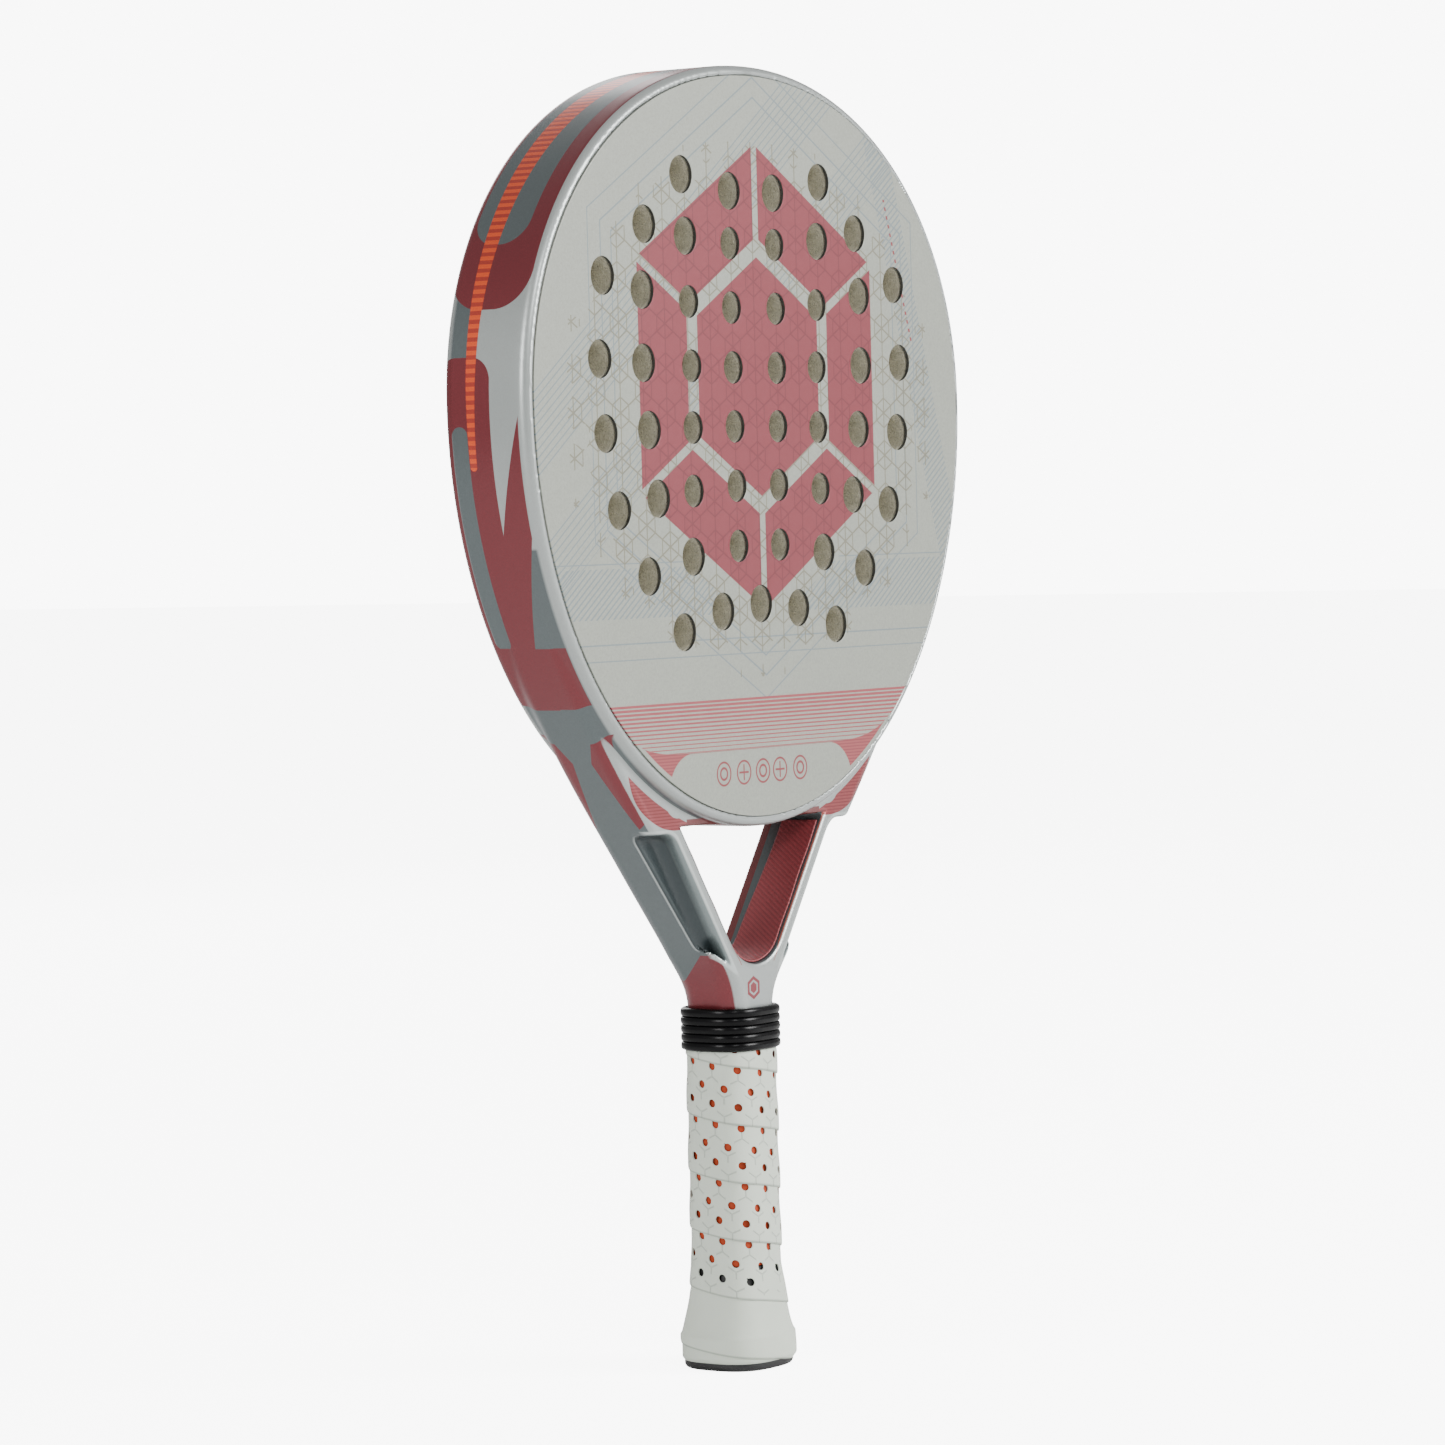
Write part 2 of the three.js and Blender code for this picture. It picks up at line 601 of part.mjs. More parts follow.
place("handle_pallet_front", pallet(-1), castFoam, handle);
place("handle_pallet_back", pallet(1), castFoam, handle);
place("butt_cap", buttCap(), blackPlastic, handle);
const stapleSides = ["right", "back", "left", "front"];
quarters.forEach((quarter) => {
  place(`cap_staple_${stapleSides[quarter]}`, staple(quarter, 0), steelWire, handle);
});
place("base_grip", baseGrip(), rustCushion, handle);
place("overgrip", overgrip(), whiteTape, handle);
place("finishing_tape", finishingTape(), whiteTape, handle);
place("grip_collar", gripCollar(), blackRubber, handle);

export default racket;
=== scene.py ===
import bmesh
import bpy
import numpy as np
from mathutils import Matrix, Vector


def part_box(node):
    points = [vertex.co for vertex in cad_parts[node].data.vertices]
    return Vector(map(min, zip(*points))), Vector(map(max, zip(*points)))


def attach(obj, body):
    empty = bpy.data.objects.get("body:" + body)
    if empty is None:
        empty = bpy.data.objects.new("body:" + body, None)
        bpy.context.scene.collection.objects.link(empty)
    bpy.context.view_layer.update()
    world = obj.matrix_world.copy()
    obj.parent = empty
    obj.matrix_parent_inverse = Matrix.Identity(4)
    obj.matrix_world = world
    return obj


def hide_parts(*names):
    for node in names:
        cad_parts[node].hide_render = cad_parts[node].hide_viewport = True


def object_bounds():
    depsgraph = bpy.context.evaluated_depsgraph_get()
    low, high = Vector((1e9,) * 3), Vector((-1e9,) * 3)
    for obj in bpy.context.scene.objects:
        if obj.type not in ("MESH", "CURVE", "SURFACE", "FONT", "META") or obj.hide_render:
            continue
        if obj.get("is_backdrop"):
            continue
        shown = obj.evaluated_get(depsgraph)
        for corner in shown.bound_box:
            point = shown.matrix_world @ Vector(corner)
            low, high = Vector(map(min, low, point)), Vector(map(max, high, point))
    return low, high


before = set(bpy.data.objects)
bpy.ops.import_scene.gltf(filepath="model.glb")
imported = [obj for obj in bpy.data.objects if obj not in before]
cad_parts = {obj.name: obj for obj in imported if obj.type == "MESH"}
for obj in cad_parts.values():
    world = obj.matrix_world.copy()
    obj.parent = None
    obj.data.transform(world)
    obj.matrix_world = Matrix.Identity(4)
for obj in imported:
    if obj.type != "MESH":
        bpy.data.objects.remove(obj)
cad_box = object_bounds()

# %% [markdown]
# # A padel racket
#
# The racket is one moulded carbon frame with a thick foam core between two painted faces, and a
# wrapped handle. It stands on its butt: X runs across the face, Y through it (the front faces -Y)
# and Z runs up to the head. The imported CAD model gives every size, and this script dresses it.

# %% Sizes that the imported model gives
MM = 0.001


def span(node, axis):
    """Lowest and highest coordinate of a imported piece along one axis, in millimetres."""
    low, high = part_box(node)
    return low[axis] / MM, high[axis] / MM


head_half_width = span("frame_tube", 0)[1]
length = span("frame_tube", 2)[1]
half_thickness = span("face_skin_back", 1)[1]
skin_thickness = half_thickness - span("face_skin_back", 1)[0]
core_half_depth = span("core_foam", 1)[1]
collar_bottom, handle_top = span("grip_collar", 2)
collar_half = span("grip_collar", 0)[1]
wrap_bottom, wrap_top = span("overgrip", 2)
wrap_butt_half = span("overgrip", 0)[1]
wrap_butt_half_depth = span("overgrip", 1)[1]
cap_half = span("butt_cap", 0)[1]
cap_height = span("butt_cap", 2)[1]
base_half = span("base_grip", 0)[1]
base_bottom, base_top = span("base_grip", 2)
neck_bottom = span("handle_pallet_front", 2)[1]
print(f"head {2 * head_half_width:.0f} mm wide, racket {length:.0f} mm long")

# %% Sizes of the moulding, as the part's maker would name them
CLEARANCE = 0.3
HEAD_UPPER = 0.2571 * length
HEAD_LOWER = 0.3244 * length
UPPER_FULLNESS = 2.08
EDGE_ROUND = 3.6
RIM_WIDTH = 13.0
ARM_STEP = 5.5
ARM_WIDTH = 17.0
ARM_EDGE_ROUND = 5.0
NECK_EDGE_ROUND = 8.0
NECK_ROUND_FROM = 3.0
NECK_ROUND_TO = 20.0
ARM_JOIN_DROP = 53.0
NECK_WIDTH = 26.0
THROAT_TOP_HALF_WIDTH = 43.0
THROAT_RADIUS = 17.7
THROAT_TOP_RISE = 2.0
HEART_HEIGHT = 15.3
POCKET_STRIP = 6.2
POCKET_DEPTH = 8.0
POCKET_SLOPE = 0.65
POCKET_LOW_RISE = 1.0
POCKET_HIGH_DROP = 2.2
POCKET_FLOOR_FILLET = 5.0
POCKET_TOP_FILLET = 4.0
POCKET_LOW_FILLET = 1.5
POCKET_LIP_ROUND = 1.5
THROAT_EDGE_ROUND = 1.6

head_centre = length - HEAD_UPPER
head_bottom = head_centre - HEAD_LOWER
arm_half_depth = half_thickness - ARM_STEP
throat_bottom = handle_top + HEART_HEIGHT
throat_top = head_bottom + THROAT_TOP_RISE
print(f"throat opening from {throat_bottom:.1f} to {throat_top:.1f} mm above the butt")

# %% [markdown]
# ## Camera, floor and light
#
# A long lens keeps the racket's sides nearly parallel. The camera stands low on the left, so the
# left side wall and the front face are both seen. Large soft lamps give paint its broad highlights.

# %% Camera
CAMERA_PLACE = np.array([-1.5590, -1.1243, 0.2997])
CAMERA_TURN = np.radians(-54.20)
CAMERA_RISE = np.radians(2.182)
CAMERA_ROLL = np.radians(-1.479)
LENS = 136.56

back = np.array([
    np.sin(CAMERA_TURN) * np.cos(CAMERA_RISE),
    -np.cos(CAMERA_TURN) * np.cos(CAMERA_RISE),
    np.sin(CAMERA_RISE),
])
level = np.cross(-back, [0, 0, 1])
level /= np.linalg.norm(level)
upright = np.cross(level, -back)
right = np.cos(CAMERA_ROLL) * level + np.sin(CAMERA_ROLL) * upright
up = np.cos(CAMERA_ROLL) * upright - np.sin(CAMERA_ROLL) * level

lens = bpy.data.cameras.new("camera")
lens.lens = LENS
lens.sensor_width = 36
camera = bpy.data.objects.new("camera", lens)
bpy.context.collection.objects.link(camera)
turn = np.eye(4)
turn[:3, :3] = np.column_stack([right, up, back])
turn[:3, 3] = CAMERA_PLACE
camera.matrix_world = Matrix(turn.tolist())
bpy.context.scene.camera = camera
print("camera stands", np.round(CAMERA_PLACE, 3))

# %% Lamps and the sky
def lamp(name, place, aim, size, power, tint=(1, 1, 1)):
    """A square area lamp at place, pointing at aim: its -Z axis lies along aim minus place."""
    light = bpy.data.lights.new(name, "AREA")
    light.shape = "SQUARE"
    light.size = size
    light.energy = power
    light.color = tint
    item = bpy.data.objects.new(name, light)
    bpy.context.collection.objects.link(item)
    away = np.array(place, float) - np.array(aim, float)
    away /= np.linalg.norm(away)
    side = np.cross([0, 0, 1], away)
    side /= np.linalg.norm(side)
    matrix = np.eye(4)
    matrix[:3, :3] = np.column_stack([side, np.cross(away, side), away])
    matrix[:3, 3] = place
    item.matrix_world = Matrix(matrix.tolist())
    return item


middle = (0, 0, 0.26)
lamp("key_lamp", (1.0, -2.1, 1.2), middle, 1.2, 98)
lamp("side_lamp", (-2.2, 0.3, 0.9), middle, 0.8, 26)
lamp("edge_lamp", (-1.3, -1.9, 1.6), middle, 0.4, 18)
lamp("back_lamp", (1.4, 2.0, 1.2), middle, 1.4, 20)

world = bpy.data.worlds.new("studio")
world.use_nodes = True
SKY_LIGHT = 0.5
SKY_SEEN = 9.0


def seen_strength(tree, light, seen):
    """A glow that lights the racket by light, and is seen itself as seen."""
    path = tree.nodes.new("ShaderNodeLightPath")
    blend = tree.nodes.new("ShaderNodeMix")
    blend.inputs[2].default_value = light
    blend.inputs[3].default_value = seen
    tree.links.new(path.outputs["Is Camera Ray"], blend.inputs[0])
    return blend.outputs[0]


sky = world.node_tree.nodes["Background"]
sky.inputs["Color"].default_value = (1, 1, 1, 1)
world.node_tree.links.new(seen_strength(world.node_tree, SKY_LIGHT, SKY_SEEN), sky.inputs["Strength"])
bpy.context.scene.world = world

# %% Pale floor
floor_mesh = bpy.data.meshes.new("floor")
FLOOR_REACH = 14
FLOOR_SEEN = 7.4
floor_mesh.from_pydata(
    [(x * FLOOR_REACH, y * FLOOR_REACH, 0) for x, y in ((-1, -1), (1, -1), (1, 1), (-1, 1))],
    [],
    [(0, 1, 2, 3)],
)
floor = bpy.data.objects.new("floor", floor_mesh)
bpy.context.collection.objects.link(floor)
floor_paint = bpy.data.materials.new("floor_paint")
floor_paint.use_nodes = True
floor_shader = floor_paint.node_tree.nodes["Principled BSDF"]
floor_shader.inputs["Base Color"].default_value = (0.93, 0.93, 0.93, 1)
floor_shader.inputs["Roughness"].default_value = 0.9
floor_shader.inputs["Emission Color"].default_value = (1, 1, 1, 1)
floor_glow = seen_strength(floor_paint.node_tree, 0.0, FLOOR_SEEN)
floor_paint.node_tree.links.new(floor_glow, floor_shader.inputs["Emission Strength"])
floor_mesh.materials.append(floor_paint)
floor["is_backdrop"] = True
print("floor is", 2 * FLOOR_REACH, "m across")

# %% [markdown]
# ## From arrays to a piece
#
# Every new piece is worked out as whole numpy arrays in millimetres, then handed to Blender once.
# A surface is a grid of points. Where the grid closes on itself its faces wrap round.

# %% Putting arrays into a mesh
def new_piece(name, points, faces, body="racket", slot=None, sharp=50):
    """A mesh object from points in millimetres and faces given as rows of corner numbers.
    It is shaded smooth, except along edges that turn by more than sharp degrees."""
    mesh = bpy.data.meshes.new(name)
    mesh.from_pydata((np.asarray(points) * MM).tolist(), [], np.asarray(faces).tolist())
    mesh.shade_smooth()
    mesh.set_sharp_from_angle(angle=np.radians(sharp))
    mesh.validate()
    piece = bpy.data.objects.new(name, mesh)
    bpy.context.collection.objects.link(piece)
    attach(piece, body)
    print(f"{name}: {len(points)} points, {len(faces)} faces")
    return piece


def grid_faces(rows, columns, wrap_rows=False, wrap_columns=False):
    """Four-cornered faces of a grid whose point in row i, column j is number i * columns + j.
    A wrapped direction joins its last line of points to its first."""
    i = np.arange(rows if wrap_rows else rows - 1)[:, None]
    j = np.arange(columns if wrap_columns else columns - 1)[None, :]
    i_next = (i + 1) % rows
    j_next = (j + 1) % columns
    corners = [i * columns + j, i_next * columns + j, i_next * columns + j_next, i * columns + j_next]
    return np.stack(np.broadcast_arrays(*corners), -1).reshape(-1, 4)


def smooth_step(value, low, high):
    """0 below low, 1 above high, and 3t squared minus 2t cubed between them."""
    t = np.clip((value - low) / (high - low), 0, 1)
    return t * t * (3 - 2 * t)

# %% [markdown]
# ## The moulded frame
#
# The rim, the two arms, the heart and the bridge leave one mould as one smooth skin, with a soft
# fillet wherever two of them meet. Lofted patches would need a seam at each fillet. Instead the
# whole form is written as a distance: a formula that is negative inside the racket and positive
# outside. Distances join with a minimum, cut with a maximum, and a rounded minimum or maximum
# gives the fillets. The surface is where the formula is zero.

# %% Outlines of the head, the arms and the throat
def head_distance(x, z):
    """Signed distance to the head's outline: the superellipse radius minus one, over its slope."""
    upper = z > head_centre
    power = np.where(upper, UPPER_FULLNESS, 2.0)
    height = np.where(upper, HEAD_UPPER, HEAD_LOWER)
    across = np.maximum(np.abs(x) / head_half_width, 1e-6)
    rise = np.maximum(np.abs(z - head_centre) / height, 1e-6)
    radius = (across ** power + rise ** power) ** (1 / power)
    slope_x = (across / radius) ** (power - 1) / head_half_width
    slope_z = (rise / radius) ** (power - 1) / height
    slope = np.hypot(slope_x, slope_z)
    return (radius - 1) / slope


def bezier(points, count):
    """A cubic curve through four control points, as an array of count places along it."""
    t = np.linspace(0, 1, count)[:, None]
    a, b, c, d = (np.array(point, float) for point in points)
    return (1 - t) ** 3 * a + 3 * t * (1 - t) ** 2 * b + 3 * t ** 2 * (1 - t) * c + t ** 3 * d


throat_centre = throat_bottom + THROAT_RADIUS
throat_rise = throat_top - throat_centre
throat_reach = np.hypot(THROAT_TOP_HALF_WIDTH, throat_rise)
throat_lean = np.arccos(THROAT_RADIUS / throat_reach) - np.arctan2(throat_rise, THROAT_TOP_HALF_WIDTH)
throat_slope = np.tan(throat_lean)


def throat_half_width(z):
    return THROAT_TOP_HALF_WIDTH - throat_slope * (throat_top - z)


WAIST_SHARE = 0.2
WAIST_FLARE = 1.25
join_x = head_half_width * np.sqrt(1 - (ARM_JOIN_DROP / HEAD_LOWER) ** 2)
join_z = head_centre - ARM_JOIN_DROP
join_slope = head_half_width ** 2 * ARM_JOIN_DROP / (HEAD_LOWER ** 2 * join_x)
waist_z = head_bottom - WAIST_SHARE * (head_bottom - handle_top)
waist_x = throat_half_width(waist_z) + ARM_WIDTH
waist_slope = WAIST_FLARE * throat_slope
neck_z = handle_top - 7
upper_arm = bezier([
    (join_x, join_z),
    (join_x - join_slope * 0.42 * (join_z - waist_z), join_z - 0.42 * (join_z - waist_z)),
    (waist_x + waist_slope * 0.23 * (join_z - waist_z), waist_z + 0.23 * (join_z - waist_z)),
    (waist_x, waist_z),
], 80)
lower_arm = bezier([
    (waist_x, waist_z),
    (waist_x - waist_slope * 0.62 * (waist_z - neck_z), waist_z - 0.62 * (waist_z - neck_z)),
    (NECK_WIDTH / 2, neck_z + 0.3 * (waist_z - neck_z)),
    (NECK_WIDTH / 2, neck_z),
], 80)
arm_line = np.vstack([upper_arm, lower_arm[1:], [[NECK_WIDTH / 2, 0]]])[::-1]
print(f"arms leave the head at {join_z:.0f} mm and meet the neck at {neck_z:.0f} mm")

# %% The frame's distance formula
def rounded_slab(outline, depth, half, edge):
    """Distance to a plate: outline is the distance across it, depth through it, edge its rounding."""
    a = outline + edge
    b = np.abs(depth) - half + edge
    return np.minimum(np.maximum(a, b), 0) + np.hypot(np.maximum(a, 0), np.maximum(b, 0)) - edge


def join(a, b, fillet):
    """Rounded minimum: two solids as one, with a fillet in the corner between them."""
    near = np.maximum(fillet - np.abs(a - b), 0) / fillet
    return np.minimum(a, b) - near ** 2 * fillet / 4


def cut(a, b, fillet):
    """Rounded maximum of a and minus b: solid a with solid b taken out of it."""
    return -join(-a, b, fillet)


def arm_distance(x, z):
    half = np.interp(z, arm_line[:, 1], arm_line[:, 0])
    lean = np.interp(z + 1, arm_line[:, 1], arm_line[:, 0]) - np.interp(z - 1, arm_line[:, 1], arm_line[:, 0])
    beside = (np.abs(x) - half) / np.hypot(1, lean / 2)
    return np.maximum(beside, z - join_z)


def throat_distance(x, z):
    """A V whose two sides and sharp foot are moved outwards by the bottom's radius, cut off flat on top."""
    rise = z - throat_centre
    along = np.abs(x) * np.sin(throat_lean) + rise * np.cos(throat_lean)
    across = np.abs(x) * np.cos(throat_lean) - rise * np.sin(throat_lean)
    v_shape = np.where(along > 0, across, np.hypot(x, rise)) - THROAT_RADIUS
    return np.maximum(v_shape, z - throat_top)


def pocket_distance(x, y, z):
    """The recess in an arm's front outer corner: a wall beside the arm's strip, a level upper end, a
    sloped lower end and a floor. Each is a signed distance, and the recess is where all are negative."""
    low_z = throat_bottom + POCKET_LOW_RISE
    high_z = throat_top - POCKET_HIGH_DROP
    low_x = throat_half_width(low_z) + POCKET_STRIP
    side = np.abs(x)
    tilt = np.hypot(1, POCKET_SLOPE)
    wall = (throat_half_width(z) + POCKET_STRIP - side) * np.cos(throat_lean)
    low_end = (low_z + POCKET_SLOPE * (side - low_x) - z) / tilt
    high_end = z - high_z
    depth = y + arm_half_depth - POCKET_DEPTH
    floor_and_wall = join_max(wall, depth, POCKET_FLOOR_FILLET)
    closed_top = join_max(high_end, floor_and_wall, POCKET_TOP_FILLET)
    return join_max(low_end, closed_top, POCKET_LOW_FILLET)


def join_max(a, b, fillet):
    """Rounded maximum: what lies inside both, with its corner rounded."""
    return -join(-a, -b, fillet)


def frame_distance(x, y, z):
    """The rim and the arms joined, less the throat, the pockets, the core's window and the skins' seats."""
    head = head_distance(x, z)
    rim = rounded_slab(head, y, half_thickness, EDGE_ROUND)
    neck_share = 1 - smooth_step(z, handle_top + NECK_ROUND_FROM, handle_top + NECK_ROUND_TO)
    edge_round = ARM_EDGE_ROUND + (NECK_EDGE_ROUND - ARM_EDGE_ROUND) * neck_share
    arms = rounded_slab(arm_distance(x, z), y, arm_half_depth, edge_round)
    arms = cut(arms, throat_distance(x, z), THROAT_EDGE_ROUND)
    fillet = 0.01 + 2.6 * smooth_step(262 - z, 0, 26)
    solid = join(rim, arms, fillet)
    solid = cut(solid, pocket_distance(x, y, z), POCKET_LIP_ROUND)
    solid = np.maximum(solid, -(head + RIM_WIDTH))
    seat = half_thickness - skin_thickness - CLEARANCE
    solid = np.maximum(solid, -np.maximum(head + EDGE_ROUND - CLEARANCE, seat - np.abs(y)))
    return np.maximum(solid, neck_bottom + CLEARANCE - z)

# %% Turning a distance formula into a mesh
def surface_of(distance, low, high, step):
    """Surface nets. The space is cut into cubes; each cube that the surface crosses gets one point,
    the mean of the crossings on its edges, and each crossed grid edge gets the face between its
    four cubes. Each point then slides along the slope on to the true surface."""
    axes = [np.arange(a, b + step, step) for a, b in zip(low, high)]
    x, y, z = np.meshgrid(*axes, indexing="ij")
    field = distance(x, y, z)
    inside = field < 0
    corner_shifts = np.array([(i, j, k) for i in (0, 1) for j in (0, 1) for k in (0, 1)])
    shape = np.array(field.shape) - 1
    count = np.zeros(shape, int)
    for i, j, k in corner_shifts:
        count += inside[i:shape[0] + i, j:shape[1] + j, k:shape[2] + k]
    cells = np.argwhere((count > 0) & (count < 8))
    number = np.full(shape, -1)
    number[tuple(cells.T)] = np.arange(len(cells))
    total = np.zeros((len(cells), 3))
    crossings = np.zeros(len(cells))
    for first, start in enumerate(corner_shifts):
        for end in corner_shifts[first + 1:]:
            if np.abs(end - start).sum() != 1:
                continue
            f_start = field[tuple((cells + start).T)]
            f_end = field[tuple((cells + end).T)]
            crossed = (f_start < 0) != (f_end < 0)
            share = np.where(crossed, f_start / np.where(crossed, f_start - f_end, 1), 0)
            total += crossed[:, None] * (start + share[:, None] * (end - start))
            crossings += crossed
    points = np.array(low) + step * (cells + total / crossings[:, None])
    faces = []
    for axis in range(3):
        one, two = [other for other in range(3) if other != axis]
        front = np.moveaxis(inside, axis, 0)
        change = np.moveaxis(front[1:] != front[:-1], 0, axis)
        places = np.argwhere(change)
        keep = (places[:, one] > 0) & (places[:, two] > 0)
        keep &= (places[:, one] < shape[one]) & (places[:, two] < shape[two])
        places = places[keep]
        quad = []
        for back_one, back_two in ((0, 0), (1, 0), (1, 1), (0, 1)):
            cube = places.copy()
            cube[:, one] -= back_one
            cube[:, two] -= back_two
            quad.append(number[tuple(cube.T)])
        quad = np.stack(quad, -1)
        starts_inside = inside[tuple(places.T)]
        flip = starts_inside if axis == 1 else ~starts_inside
        quad[flip] = quad[flip][:, ::-1]
        faces.append(quad)
    for _ in range(3):
        points = slide_on_to(distance, points, step)
    return points, np.vstack(faces)


def slide_on_to(distance, points, step):
    """One Newton step: each point moves by the distance over the slope, at most a third of a cube."""
    nudge = 0.02
    here = distance(*points.T)
    slope = np.stack([
        (distance(*(points + nudge * axis).T) - distance(*(points - nudge * axis).T)) / (2 * nudge)
        for axis in np.eye(3)
    ], -1)
    move = -here[:, None] * slope / np.maximum((slope ** 2).sum(1), 0.2)[:, None]
    far = np.linalg.norm(move, axis=1, keepdims=True)
    return points + move * np.minimum(1, step / 3 / np.maximum(far, 1e-9))


STEP = 0.85
margin = 1.7
frame_low = (-head_half_width - margin, -half_thickness - margin, neck_bottom - margin)
frame_high = (head_half_width + margin, half_thickness + margin, length + margin)
frame_points, frame_faces = surface_of(frame_distance, frame_low, frame_high, STEP)
corners = frame_points[frame_faces]
volume = np.einsum(
    "ij,ij->i", corners[:, 0], np.cross(corners[:, 1], corners[:, 2]) + np.cross(corners[:, 2], corners[:, 3])
).sum() / 6
if volume < 0:
    frame_faces = frame_faces[:, ::-1]
print(f"frame encloses {abs(volume) / 1000:.0f} cubic centimetres")
moulded_frame = new_piece("moulded_frame", frame_points, frame_faces, slot="frame_paint", sharp=60)
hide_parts("frame_tube", "throat_bridge")

# %% Fewer triangles where the frame is flat
FRAME_TRIANGLES = 185000
thinning = moulded_frame.modifiers.new("thinning", "DECIMATE")
thinning.ratio = min(1, FRAME_TRIANGLES / (2 * len(frame_faces)))
thinning.use_collapse_triangulate = True
graph = bpy.context.evaluated_depsgraph_get()
thinned = bpy.data.meshes.new_from_object(moulded_frame.evaluated_get(graph))
moulded_frame.modifiers.clear()
moulded_frame.data = thinned
thinned.shade_smooth()
thinned.set_sharp_from_angle(angle=np.radians(60))
print("frame triangles:", len(thinned.polygons))

# %% The shaft inside the handle
def section(angle, half, squareness, depth_ratio):
    """A squared circle: half over the power sum of cosine and sine, drawn in to the handle's depth."""
    norm = np.abs(np.cos(angle)) ** squareness + np.abs(np.sin(angle)) ** squareness
    reach = half * norm ** (-1 / squareness)
    return reach * np.cos(angle), reach * np.sin(angle) * depth_ratio


GRIP_SQUARENESS = 2.8
grip_depth_ratio = wrap_butt_half_depth / wrap_butt_half


def turned(profile, sides=96, squareness=GRIP_SQUARENESS, depth_ratio=None):
    """A closed profile of (half width, height) rows carried round the handle's squared section.
    Rows may give their own squareness, so that a round bore can sit in a squared end."""
    profile = np.array(profile, float)
    ratio = grip_depth_ratio if depth_ratio is None else depth_ratio
    power = np.full(len(profile), squareness) if np.isscalar(squareness) else np.array(squareness)
    ratio = np.full(len(profile), ratio) if np.isscalar(ratio) else np.array(ratio)
    angle = np.linspace(0, 2 * np.pi, sides, endpoint=False)[None, :]
    x, y = section(angle, profile[:, :1], power[:, None], ratio[:, None])
    z = np.broadcast_to(profile[:, 1:], x.shape)
    return np.stack([x, y, z], -1).reshape(-1, 3), grid_faces(len(profile), sides, True, True)[:, ::-1]


def line(start, end, count):
    """Evenly spaced rows from start to end, both kept."""
    return np.linspace(start, end, count)


PALLET_OVER_SHAFT = 2.7
TUBE_WALL = 2.0
shaft_outer = span("handle_pallet_front", 0)[1] - PALLET_OVER_SHAFT
shaft_inner = shaft_outer - TUBE_WALL
shaft_bottom = span("frame_tube", 2)[0]
shaft_profile = np.vstack([
    line((shaft_outer, shaft_bottom), (shaft_outer, neck_bottom), 12),
    line((shaft_inner, neck_bottom), (shaft_inner, shaft_bottom), 12),
])
frame_shaft = new_piece("frame_shaft", *turned(shaft_profile), slot="frame_paint")

# %% [markdown]
# ## Faces and core
#
# Two thin laminates close the racket, and 53 holes are drilled through both and the foam between.
# A flat curve with a hole for each drilling fills itself exactly, with round edges, so the faces
# and the core are drawn as curves, then made into meshes.

# %% Where the holes are
LARGE_HOLE = 13.0
SMALL_HOLE = 11.2
HOLE_MARGIN = 27.2
hole_rows = [
    # rise above the head's widest height, bow, how many are small, and shares of the half width
    (72.6, 0.0031, 0, (0.146, 0.459)),
    (54.8, 0.0014, 1, (0.148, 0.44, 0.702)),
    (32.6, 0.0013, 2, (0.148, 0.427, 0.724, 0.97)),
    (12.1, 0.0003, 2, (0.146, 0.418, 0.726, 1)),
    (-8.2, -0.0003, 2, (0.144, 0.419, 0.7, 0.974)),
    (-28.6, -0.0012, 2, (0.141, 0.424, 0.653, 0.902)),
    (-49.3, -0.0023, 1, (0.138, 0.437, 0.723)),
    (-70, -0.0041, 0, (0, 0.253, 0.508)),
]
hole_field = head_half_width - RIM_WIDTH - HOLE_MARGIN
holes = []
for rise, bow, small, shares in hole_rows:
    for place, share in enumerate(shares):
        across = share * hole_field
        radius = (SMALL_HOLE if place < small else LARGE_HOLE) / 2
        for side in (1,) if share == 0 else (-1, 1):
            holes.append((side * across, head_centre + rise + bow * across ** 2, radius))
print("holes:", len(holes))

# %% A drilled plate
def head_ring(inset, count=256):
    """The head's outline moved in by inset, as (x, z) rows: a superellipse above, an ellipse below."""
    angle = np.linspace(0, 2 * np.pi, count, endpoint=False)
    across, rise = np.sin(angle), np.cos(angle)
    power = np.where(rise > 0, 2 / UPPER_FULLNESS, 1.0)
    height = np.where(rise > 0, HEAD_UPPER, HEAD_LOWER) - inset
    x = (head_half_width - inset) * np.sign(across) * np.abs(across) ** power
    return np.column_stack([x, head_centre + height * np.sign(rise) * np.abs(rise) ** power])


def circle(x, z, radius, count=48):
    angle = np.linspace(0, 2 * np.pi, count, endpoint=False)
    return np.column_stack([x + radius * np.cos(angle), z + radius * np.sin(angle)])


